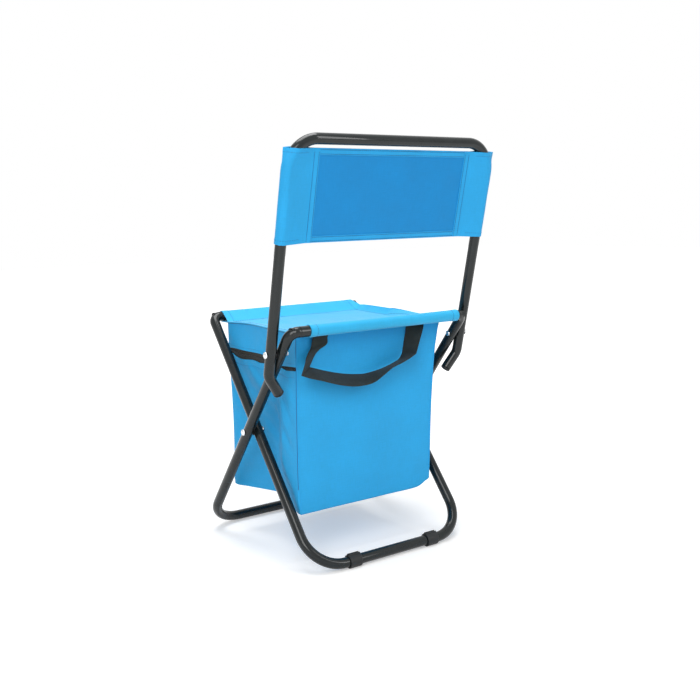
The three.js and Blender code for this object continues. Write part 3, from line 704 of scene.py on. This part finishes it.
back_mesh = Piece("back_mesh_cloth", mesh_blue)
back_sheet(back_mesh, PANEL_LOW + MESH_INSET, PANEL_HIGH - MESH_INSET, MESH_HALF, MESH_THICKNESS)
mesh_object = back_mesh.build("backrest", "blue_mesh", "back_mesh")
hem_lines = (PANEL_HIGH - HEM + STITCH_INSET, PANEL_HIGH - EDGE_INSET)
hem_high = back_hem("back_hem_high", PANEL_HIGH - HEM, hem_lines, "back_hem_top")
hem_lines = (PANEL_LOW + HEM - STITCH_INSET, PANEL_LOW + EDGE_INSET)
hem_low = back_hem("back_hem_low", PANEL_LOW, hem_lines, "back_hem_bottom")

# Seat cover, front half and rear half
SEAT_LEFT_HEIGHTS = [(-106, 350), (-85, 350.2), (-66, 352.6), (-8, 354.4), (17, 355.3), (52, 355), (112, 352)]
SEAT_RIGHT_PLACES = [(-134, 147), (-100, 143), (-60, 138), (0, 135), (60, 136), (112, 137), (138, 134)]
SEAT_LEFT_PLACES = [(-134, -130), (-112, -130), (-95, -132.3), (100, -132.3), (120, -129), (138, -128)]
SEAT_FOLD_PLACES = [(-110, 76), (-60, 91), (-24, 106), (23, 125), (60, 138)]
SEAT_EDGE_HEIGHTS = [(-110, 352), (-52, 356.5), (-20, 358.8), (20, 360), (95, 361), (112, 360)]
SEAT_STEPS = 22


def seat_height(x, y):
    """Height of the seat cloth between its shoulders."""
    rear, front, rear_height, front_height, sag = -105, 112, 349.8, 352, 1.6
    left_start, left_run, least_rise, rise_power = -92, 38, 11, 1.25
    level = mix(rear_height, front_height, (y - rear) / (front - rear))
    level -= sag * (1 - ((y - (front + rear) / 2) / ((front - rear) / 2)) ** 2)
    level = mix(level, curve_at(SEAT_LEFT_HEIGHTS, y), ease((left_start - x) / left_run))
    level += ripple(x / 55, y / 60, 2, 0.9)
    edge = curve_at(SEAT_RIGHT_PLACES, y)
    fold = min(curve_at(SEAT_FOLD_PLACES, y), edge - least_rise)
    raised = curve_at(SEAT_EDGE_HEIGHTS, y)
    return mix(level, raised, (max(x - fold, 0) / (edge - fold)) ** rise_power)


def seat_profile(x, sign, shoulder, bar_y):
    """Points (y, z) of the cloth from mid seat over the bar and back to its seam."""
    places = [sign * shoulder * k / SEAT_STEPS for k in range(SEAT_STEPS + 1)]
    profile = [(y, seat_height(x, y)) for y in places]
    lap = 1.3
    seam_y, seam_z = profile[-1]
    reach, drop = sign * (seam_y - bar_y), seam_z - BAR_HEIGHT
    across = hypot(reach, drop)
    toward = atan2(drop, reach) % (2 * pi)
    spread = acos(SLEEVE_RADIUS / across)
    start, end = toward - spread, toward + spread - 2 * pi
    around = [
        (bar_y + sign * SLEEVE_RADIUS * cos(t), BAR_HEIGHT + SLEEVE_RADIUS * sin(t))
        for t in spaced(start, end, 20)
    ]
    slope = line_on((seam_y, seam_z), around[0], 6)[:-1]
    return profile + slope + around + line_on(around[-1], (seam_y, seam_z - lap), 6)


def seat_cloth(name, sign, shoulder, bar_y, wrap_left, wrap_right):
    columns, hem_columns, hem_cloths, top_rows, turn_rows = 72, 3, 2.2, 29, 8
    rough_span = (-130, 138)
    piece = Piece(name, seat_blue_painted_lit, thread)
    lines = []
    for share in spaced(0, 1, columns):
        guess = mix(*rough_span, share)
        line = []
        for k, (y, _) in enumerate(seat_profile(guess, sign, shoulder, bar_y)):
            turned = ease((k - top_rows) / turn_rows)
            left = mix(curve_at(SEAT_LEFT_PLACES, y), wrap_left, turned)
            right = mix(curve_at(SEAT_RIGHT_PLACES, y), wrap_right, turned)
            x = mix(left, right, share)
            line.append(Vector((x, *seat_profile(x, sign, shoulder, bar_y)[k])))
        lines.append(line)
    rows = [list(row) for row in zip(*lines)]
    if sign < 0:
        rows.reverse()
    hem_end = columns - hem_columns
    piece.sheet(rows, lambda i, j: CLOTH * (1 if hem_columns <= j <= hem_end else hem_cloths))
    normals = rows_normals(rows)
    for column in (hem_columns, hem_end):
        outs = [normal[column] for normal in normals]
        piece.stitches([row[column] for row in rows], outs, lift=CLOTH / 2)
    seam = SEAT_STEPS - 1 if sign > 0 else len(rows) - SEAT_STEPS
    piece.stitches(rows[seam], normals[seam], lift=CLOTH / 2)
    return piece


front_seat = seat_cloth("seat_cloth_front", 1, FRONT_SHOULDER, FRONT_BAR_Y, -128, 131)
front_seat = front_seat.build(None, "blue_fabric", "seat_sleeve_front", "seat_panel")
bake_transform(front_seat)
rear_seat = seat_cloth("seat_cloth_rear", -1, REAR_SHOULDER, REAR_BAR_Y, -130, 147)
rear_seat = rear_seat.build(None, "blue_fabric", "seat_sleeve_rear")
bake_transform(rear_seat)

# Cooler bag: rings of points that run rear, right, front, left, with tight corners
WALL_STEPS = (44, 36, 44, 56)
CORNER_STEPS = 4
REAR_LEFT_PLACES = [(78, -132), (100, -134.5), (150, -135), (250, -133.5), (304, -132), (346, -131)]
FRONT_LEFT_PLACES = [(78, -130), (300, -130.5), (346, -130.5)]
REAR_RIGHT_PLACES = [(79, 117), (211, 123), (304, 132), (319, 135), (338, 139), (346, 142)]
FRONT_RIGHT_PLACES = [(79, 118), (211, 123), (304, 131), (346, 133)]
LEFT_FALL = [(78, 31), (100, 25), (150, 24), (225, 21), (280, 8), (300, 3), (346, 1)]
RIGHT_FALL = [(78, 13), (100, 9), (150, 8), (225, 9), (280, 4), (300, 1.6), (346, 0.5)]


def fallen(share, z, vertex_high, vertex_low, end_high):
    """How far a side wall has folded in, as a share, along its run between two corners."""
    fold_foot, fold_rise, softness = 90, 70, 0.25
    low = 1 - ease((z - fold_foot) / fold_rise)
    vertex = mix(vertex_high, vertex_low, low)
    end = mix(end_high, 1, low)
    part = share / vertex if share < vertex else max(end - share, 0) / (end - vertex)
    return mix(part, ease(part), softness)


def side_folds(y, z):
    """Soft slanted folds under the zip."""
    slant_y, slant_z, width, length, height = 0.67, 0.74, 15, 80, 4
    foot, foot_fade, top, top_fade = 140, 60, 300, 16
    across, along = (y * slant_y - z * slant_z) / width, (y * slant_z + z * slant_y) / length
    fade = ease((z - foot) / foot_fade) * ease((top - z) / top_fade)
    return ripple(across, along, 4, height) * fade


def bag_ring(z, inset=0.0, corner=1.8):
    """One level ring of the bag's walls, drawn in by an inset."""
    wall_height, front_bow, right_bow, left_bow, rear_dent, front_dent = 225, 3, 4, 1.5, 1.4, 3
    zip_foot, zip_fade, hold_rate, dent_rate = 270, 25, 4, 12
    level = min(max((z - BAG_LOW) / wall_height, 0), 1)
    bow = sin(pi * level)
    rear, front = BAG_REAR + inset, BAG_FRONT - inset - front_bow * bow
    corners = [
        Vector((curve_at(REAR_LEFT_PLACES, z) + inset, rear)),
        Vector((curve_at(REAR_RIGHT_PLACES, z) - inset, rear)),
        Vector((curve_at(FRONT_RIGHT_PLACES, z) - inset - right_bow * bow, front)),
        Vector((curve_at(FRONT_LEFT_PLACES, z) + inset + left_bow * bow, front)),
    ]
    left_fall, right_fall = curve_at(LEFT_FALL, z), curve_at(RIGHT_FALL, z)
    dents = (
        lambda s: -rear_dent * sin(pi * s) * bow,
        lambda s: right_fall * fallen(s, z, 0.5, 0.55, 1),
        lambda s: -front_dent * sin(pi * s) * bow,
        lambda s: left_fall * fallen(s, z, 0.53, 0.39, 0.79) + side_folds(mix(front, rear, s), z),
    )
    beside_zip = ease((z - zip_foot) / zip_fade)
    ring = []
    for wall, dent in enumerate(dents):
        start, end = corners[wall], corners[(wall + 1) % 4]
        along = (end - start).normalized()
        inward = Vector((-along.y, along.x))
        a, b = start + along * corner, end - along * corner
        for k in range(WALL_STEPS[wall] + 1):
            s = k / WALL_STEPS[wall]
            uneven = ripple(s * 5 + wall * 9, z / 55, 1, 1.1)
            uneven += ripple(s * 12 + wall * 9, z / 25, 5, 0.35)
            hold = min(1, hold_rate * sin(pi * s))
            if wall == 2:
                hold *= 1 - beside_zip
            dented = dent(s) * min(1, dent_rate * s, dent_rate - dent_rate * s)
            ring.append(a.lerp(b, s) + inward * (dented + uneven * hold))
        turn_to = end + (corners[(wall + 2) % 4] - end).normalized() * corner
        for k in range(1, CORNER_STEPS):
            s = k / CORNER_STEPS
            ring.append(b * (1 - s) ** 2 + end * 2 * s * (1 - s) + turn_to * s * s)
    return ring


ZIP_HIGH = [(-100, 302.6), (-75, 301.2), (-59, 300.4), (-40, 304), (-3, 310), (50, 310.3), (112, 310.8)]
ZIP_LOW = [(-100, 296.4), (-92, 296.2), (-72, 294.4), (-60, 296.6), (0, 296), (15, 295.2), (32, 297.4),
           (71, 295), (90, 298), (103, 303), (112, 303)]
ZIP_REAR_LOW = 297
ZIP_FRONT_LOW = [(-130, 303), (-108, 300.5), (110, 300.5), (132, 302)]
HALF_CORNER = CORNER_STEPS // 2
REAR_SPAN = WALL_STEPS[0] + 1
REAR_RIGHT = REAR_SPAN + HALF_CORNER - 1
RING_COUNT = sum(WALL_STEPS) + 4 * CORNER_STEPS
REAR_LEFT = RING_COUNT - HALF_CORNER
FIRST_LEFT = RING_COUNT - CORNER_STEPS - WALL_STEPS[3]
FIRST_FRONT = FIRST_LEFT - CORNER_STEPS - WALL_STEPS[2]


def walls_grid(lows, highs, steps, columns, inset=0.0, digits=2):
    """Rows of wall points between a low and a high line, their plan taken at rounded heights."""
    cache = {}

    def point(j, z):
        key = round(z, digits)
        if key not in cache:
            cache[key] = bag_ring(key, inset)
        return Vector((*cache[key][j], z))

    return [[point(j, mix(lows[j], highs[j], k / steps)) for j in columns] for k in range(steps + 1)]


def is_rear(j):
    return j <= REAR_RIGHT or j >= REAR_LEFT


top_plan = bag_ring(300)


def zip_bottom(j):
    """Height of the lower edge of the zip's slit at a ring column."""
    if is_rear(j):
        return ZIP_REAR_LOW
    if FIRST_FRONT <= j < FIRST_LEFT:
        return curve_at(ZIP_FRONT_LOW, top_plan[j].x)
    return curve_at(ZIP_LOW, top_plan[j].y)


zip_low = [zip_bottom(j) for j in range(RING_COUNT)]
zip_high = [curve_at(ZIP_HIGH, top_plan[j].y) for j in range(RING_COUNT)]
seat_under = [seat_height(*point) - SEAT_GAP for point in bag_ring(SEAT_LEVEL)]


def slump(point):
    """Softens the lower corner at the rear right."""
    x, y, z = point
    corner, height, reach, rise = 117, 10, 15, 45
    away = hypot(x - corner, y - BAG_REAR)
    lift = height * exp(-((away / reach) ** 2))
    return Vector((x, y, z + lift * (1 - ease((z - BAG_LOW) / rise))))


def bag_shell(piece, inset, thickness, high):
    """An open bag: a lifted bottom, a tight lower edge and four walls."""
    bottom_steps, fillet_steps, wall_steps = 8, 4, 44
    fillet, lift, least_share, folded = 2.6, 3, 0.004, 1.8
    rows = []
    low = BAG_LOW + inset + thickness / 2
    rim = bag_ring(low, inset + fillet)
    for k in range(bottom_steps):
        share = max(k / bottom_steps, least_share)
        z = low + lift * (1 - share**2)
        rows.append([Vector((*BAG_MIDDLE.lerp(p, share), z)) for p in rim])
    for k in range(fillet_steps + 1):
        turn = radians(90 * k / fillet_steps)
        z = low + fillet * (1 - cos(turn))
        rows.append([Vector((*p, z)) for p in bag_ring(z, inset + fillet * (1 - sin(turn)))])
    start = [low + fillet] * RING_COUNT
    rows += walls_grid(start, high, wall_steps, range(RING_COUNT), inset, digits=1)[1:]
    rows = [[slump(point) for point in row] for row in rows]
    hem = len(rows) - 2
    piece.sheet(rows, lambda i, j: thickness * (folded if i >= hem and not is_rear(j) else 1), wrap=True)
    return rows


bag = Piece("bag_cloth", blue, thread, thread_pale)
bag_rows = bag_shell(bag, 0.0, CLOTH, zip_low)
rear_columns = [*range(REAR_LEFT, RING_COUNT), *range(REAR_RIGHT + 1)]
bag.sheet(walls_grid(zip_low, seat_under, 14, rear_columns), CLOTH)

# Sewn corner edges and the dark lines of their seams, dark thread cords that are painted shade of the
# seam grooves: ring column, height above the bottom, top, distance out of the wall, radius and finish
SEAM_BEADS_AND_SHADE_LINES = (
    (0, 8, 344, 0.1, 1, 0), (REAR_LEFT, 40, 345, 0.25, 0.55, 1),
    (REAR_SPAN - 1, 22, 342, 0.1, 1, 0), (REAR_RIGHT, 40, 343, 0.25, 0.5, 1),
    (FIRST_FRONT - HALF_CORNER, 8, 299, 0.3, 0.8, 0), (FIRST_LEFT - HALF_CORNER, 8, 299, 0.3, 0.8, 0),
)
# Rows of finish 1 are dark thread cords: painted shade of the seam grooves at the rear corners.
for j, rise, top, out, radius, finish in SEAM_BEADS_AND_SHADE_LINES:
    stations = []
    for z in spaced(BAG_LOW + rise, top, 48):
        ring = bag_ring(z)
        along = (ring[(j + 1) % RING_COUNT] - ring[j - 1]).normalized()
        beside = ring[j] + Vector((along.y, -along.x)) * out
        stations.append((slump(Vector((*beside, z))), UP, radius))
    bag.rings(stations, RIGHT, finish, 8, True)
hemmed = slice(REAR_SPAN + CORNER_STEPS - 1, RING_COUNT - CORNER_STEPS + 1)
bag.stitches(bag_rows[-3][hemmed], rows_normals(bag_rows, True)[-3][hemmed], 2, THREAD_LIFT)
bag_object = bag.build("seat_and_bag", "blue_fabric", "bag_cover")

band = Piece("lid_band_cloth", blue, thread, thread_pale)
band_rows = walls_grid(zip_high, seat_under, 10, range(REAR_RIGHT, REAR_LEFT + 1))
band.sheet(band_rows, lambda i, j: CLOTH * (FOLDED if i < 2 else 1))
band_outs = rows_normals(band_rows)
band.stitches(band_rows[1], band_outs[1], 2, THREAD_LIFT)
# A dark thread cord just under the seat's edge: painted shade of the gap between the seat hem and the band.
SHADE_LINE_OUT, SHADE_LINE_RADIUS = 0.3, 0.5
shade_line = [point - UP * CLOTH for point in band_rows[-1]]
shade_line_outs = band_outs[-1]
band.rings(
    [(p + n * SHADE_LINE_OUT, (b - a).normalized(), SHADE_LINE_RADIUS)
     for p, n, a, b in zip(shade_line[1:], shade_line_outs[1:], shade_line, shade_line[2:])],
    UP, 1, 6, True,
)
band_object = band.build("seat_and_bag", "blue_fabric", "lid_band")

foam = Piece("bag_foam_liner", foam_white)
bag_shell(foam, FOAM_INSET, FOAM_THICKNESS, [FOAM_TOP] * RING_COUNT)
foam_object = foam.build("seat_and_bag", "white_foam", "bag_foam")
lining = Piece("bag_lining_film", silver)
bag_shell(lining, FILM_INSET, FILM_THICKNESS, [FILM_TOP] * RING_COUNT)
lining_object = lining.build("seat_and_bag", "silver_lining", "bag_lining")

TAPE_LAP = 5
TAPE_THICKNESS = 0.5
TAPE_INSET = 1.5
tape = Piece("zip_tape_cloth", tape_black)
tape_columns = range(REAR_RIGHT + 1, REAR_LEFT)
tape_low = [z - TAPE_LAP for z in zip_low]
tape_high = [z + TAPE_LAP for z in zip_high]
tape.sheet(walls_grid(tape_low, tape_high, 8, tape_columns, TAPE_INSET), TAPE_THICKNESS)
tape_object = tape.build("seat_and_bag", "black_webbing", "zip_tape")

COIL_PITCH = 0.75
COIL_CREST = 1.5
COIL_VALLEY = 1.15
COIL_INSET = 0.9
coil = Piece("zip_coil", plastic)
middle = [(a + b) / 2 for a, b in zip(zip_low, zip_high)]
coil_line = [Vector((*bag_ring(middle[j], COIL_INSET)[j], middle[j])) for j in tape_columns]
coil_lengths = lengths_along(coil_line)
stations = []
for n in range(int(coil_lengths[-1] / COIL_PITCH)):
    point, k = along_line(coil_line, coil_lengths, n * COIL_PITCH)
    along = (coil_line[k] - coil_line[k - 1]).normalized()
    stations.append((point, along, COIL_VALLEY if n % 2 else COIL_CREST))
coil.rings(stations, UP, 0, 8)
coil_object = coil.build("seat_and_bag", "black_plastic", "zip_teeth")


def rounded_outline(half_width, half_height, corner):
    """A rectangle with round corners, as (a, b) pairs."""
    a, b = half_width - corner, half_height - corner
    outline = []
    for centre_a, centre_b, start in ((a, -b, -90), (a, b, 0), (-a, b, 90), (-a, -b, 180)):
        outline += [(centre_a + x, centre_b + y) for x, y in arc(corner, start, start + 90, 4)]
    return outline


slider_low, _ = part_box("zip_slider_left")
SLIDER_Y = (slider_low.y - PIVOT_Y) / MM
SLIDER_X = 7
SLIDER_SHAPE = (5.3, 6, 2.4)  # half width, half height and corner
SLIDER_DEPTH = 3
ZIP_Z = 306
BRIDGE_OUT = 6.2
BRIDGE_WIRE = 0.8
BRIDGE_BEND = 1.6
BRIDGE = [(-3.6, 2), (-3.6, BRIDGE_OUT), (3.6, BRIDGE_OUT), (3.6, 2)]
EYE_RADIUS = 1.6
EYE_WIRE = 0.5
EYE_STEPS = 24
BLADE_HALF = 0.6
BLADE = [
    (-2.3, -2.6), (-1.6, -1.8), (1.6, -1.8), (2.3, -2.6), (3.4, -22.5), (2.6, -24), (-2.6, -24),
    (-3.4, -22.5),
]
zip_objects = []
for side, sign in SIDES:
    x = sign * SLIDER_X
    body = Piece(f"zip_slider_body_{side}", enamel)
    body.slab(
        rounded_outline(*SLIDER_SHAPE)[::-1],
        lambda a, b, depth: Vector((x + a, SLIDER_Y + depth, ZIP_Z + b)), 0, SLIDER_DEPTH, 0.5,
    )
    path = bent_path([Vector((x + a, SLIDER_Y + b, ZIP_Z)) for a, b in BRIDGE], [BRIDGE_BEND] * 2, 6)
    body.rings([(point, along, BRIDGE_WIRE) for point, along in path], UP, 0, 12)
    zip_objects.append(body.build(f"slider_{side}", "zip_metal", f"zip_slider_{side}"))
    pull = Piece(f"zip_pull_tab_{side}", enamel)
    hub = Vector((x, SLIDER_Y + BRIDGE_OUT, ZIP_Z))
    eye = [
        (hub + Vector((0, a, b)) * EYE_RADIUS, Vector((0, -b, a)), EYE_WIRE)
        for a, b in arc(1, 0, 360, EYE_STEPS)
    ]
    pull.rings(eye, RIGHT, 0, 10)
    pull.slab(BLADE, lambda a, b, depth: hub + Vector((a, depth, b)), -BLADE_HALF, BLADE_HALF, 0.2)
    zip_objects.append(pull.build(f"pull_{side}", "zip_metal", f"zip_pull_{side}"))

# Webbing handle: the strap's wall edge and outer edge at stations down, along and up again
LEFT_DROP = [
    ((-71, -102.4, 350), (-100, -106, 350)), ((-77.3, -102.4, 343), (-105.9, -107, 343.4)),
    ((-79.4, -104, 333), (-108.9, -105.5, 330.3)), ((-91.5, -103, 326.2), (-118.5, -113.6, 324.5)),
    ((-100.8, -103, 318.3), (-125.3, -119, 318.2)), ((-108.8, -104, 306.6), (-131.5, -124, 309)),
    ((-111.3, -104, 301.7), (-141.3, -130, 295.5)),
]
LOW_RUN = [
    LEFT_DROP[-1], ((-109.8, -104, 300.4), (-125.9, -130, 289.6)),
    ((-105.8, -104, 299.2), (-105.9, -130, 283.6)), ((-76.1, -104, 289.9), (-75.9, -130, 273.9)),
    ((-45.8, -104, 283), (-45.9, -130, 268)), ((-16, -104, 279.6), (-15.9, -130, 269.1)),
    ((4.2, -104, 281.1), (4.1, -131, 278.7)), ((21.2, -104, 283.9), (21.4, -132, 288.8)),
    ((38.8, -104, 288.7), (38.7, -132, 293.9)), ((54.2, -104, 294.5), (54.2, -132, 299.5)),
    ((61.2, -104, 303.3), (67.4, -132, 305.5)),
]
RIGHT_RISE = [
    LOW_RUN[-1], ((65.7, -103.5, 323), (81, -125, 325.2)),
    ((70.2, -103, 342.6), (95.9, -116, 344.7)), ((72, -102.6, 350), (98, -110, 350)),
]


def through(stations, steps):
    """A smooth run through a list of vectors."""
    run = []
    last = len(stations) - 1
    for i in range(last):
        p0, p1 = stations[max(i - 1, 0)], stations[i]
        p2, p3 = stations[i + 1], stations[min(i + 2, last)]
        for k in range(steps + (i == last - 1)):
            s = k / steps
            run.append(
                (p1 * 2 + (p2 - p0) * s + (p0 * 2 - p1 * 5 + p2 * 4 - p3) * s * s
                 + (p1 * 3 - p0 - p2 * 3 + p3) * s**3) / 2
            )
    return run


STRAP_STEPS = 12
STRAP_THICKNESS = 1.6
STRAP_EDGE = 1.1
handle = Piece("handle_strap", strap_black)
rows = []
for run in (LEFT_DROP, LOW_RUN, RIGHT_RISE):
    inner, outer = (through([Vector(point) for point in edge], 8) for edge in zip(*run))
    lines = [[a.lerp(b, share) for share in spaced(0, 1, STRAP_STEPS)] for a, b in zip(inner, outer)]
    rows += lines[1:] if rows else lines
handle.sheet(rows, lambda i, j: STRAP_EDGE if j in (0, STRAP_STEPS) else STRAP_THICKNESS)
handle_object = handle.build("handle", "black_webbing", "webbing_handle")

for soft in (bag_object, band_object, foam_object, lining_object, tape_object, coil_object, handle_object,
             *zip_objects):
    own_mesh(soft)

# Floor, light and camera
FLOOR_HALF = 9
SHADOW_EDGE, WHITE_EDGE = 0.3, 1.5
SHADOW_GLOW, WHITE_GLOW = 0.36, 0.9
WHITE = (1, 1, 1, 1)
SKY_FILL = 0.34
floor_mesh = bpy.data.meshes.new("floor")
floor_corners = [(a * FLOOR_HALF, b * FLOOR_HALF, 0) for a, b in ((-1, -1), (1, -1), (1, 1), (-1, 1))]
floor_mesh.from_pydata(floor_corners, [], [(0, 1, 2, 3)])
floor = add_object("floor", floor_mesh)
floor_finish = bpy.data.materials.new("floor")
floor_finish.use_nodes = True
floor_tree = floor_finish.node_tree


def seen_rays(tree):
    """1 for camera, glossy and transmission rays, and 0 for the light that falls on the object."""
    rays = add_node(tree, "LightPath", {})
    seen = rays.outputs["Is Camera Ray"]
    for output in ("Is Glossy Ray", "Is Transmission Ray"):
        seen = combine(tree, "MAXIMUM", seen, rays.outputs[output])
    return seen


# The floor turns white away from the object and keeps its shadow near it
floor_place = add_node(floor_tree, "TexCoord", {}).outputs["Object"]
floor_reach = add_node(floor_tree, "VectorMath", {0: floor_place}, operation="LENGTH").outputs["Value"]
whitening = ramp(floor_tree, floor_reach, SHADOW_EDGE, WHITE_EDGE, SHADOW_GLOW, WHITE_GLOW)
set_inputs(floor_tree, floor_tree.nodes["Principled BSDF"], {
    "Base Color": (0.8, 0.8, 0.8, 1), "Roughness": 0.9, "Specular IOR Level": 0.1,
    "Emission Color": WHITE,
    "Emission Strength": combine(floor_tree, "MULTIPLY", seen_rays(floor_tree), whitening),
})
floor_mesh.materials.append(floor_finish)

world = bpy.data.worlds.new("studio")
scene.world = world
world.use_nodes = True
sky = world.node_tree
sky_strength = ramp(sky, seen_rays(sky), 0, 1, SKY_FILL, 1)
set_inputs(sky, sky.nodes["Background"], {"Color": WHITE, "Strength": sky_strength})


def area_light(name, place_at, aim, width, height, power):
    """A lamp of a size in metres and a power in watts."""
    data = bpy.data.lights.new(name, "AREA")
    data.shape = "RECTANGLE"
    data.size, data.size_y = width, height
    data.energy = power
    lamp = add_object(name, data)
    lamp.location = place_at
    lamp.rotation_euler = (Vector(aim) - Vector(place_at)).to_track_quat("-Z", "Y").to_euler()


area_light("top", (0, 0.1, 2.3), (0, 0, 0.25), 1.4, 1.4, 39)
area_light("key_left", (-1.5, -1.5, 1.5), (0, 0, 0.3), 1.1, 1.6, 30)
area_light("strip_right", (1.05, -1.9, 1.3), (0, 0, 0.3), 0.3, 1.4, 8)

CAMERA_PLACE = (-0.826, -1.2375 + PIVOT_Y, 0.5235)
CAMERA_LENS = 47.54
CAMERA_SHIFT = -0.00085
azimuth, elevation, roll = (radians(angle) for angle in (34.84, 8.43, -1.383))
forward = Vector((
    sin(azimuth) * cos(elevation),
    cos(azimuth) * cos(elevation),
    -sin(elevation),
))
level_right = Vector((cos(azimuth), -sin(azimuth), 0))
level_up = level_right.cross(forward)
right = level_right * cos(roll) + level_up * sin(roll)
up = level_up * cos(roll) - level_right * sin(roll)
camera_data = bpy.data.cameras.new("camera")
camera_data.lens = CAMERA_LENS
camera_data.sensor_width = 36
camera_data.shift_x = CAMERA_SHIFT
camera = add_object("camera", camera_data)
facing = Matrix((right, up, -forward)).transposed().to_4x4()
camera.matrix_world = Matrix.Translation(CAMERA_PLACE) @ facing
scene.camera = camera
scene.view_settings.view_transform = "Standard"

bpy.context.view_layer.update()
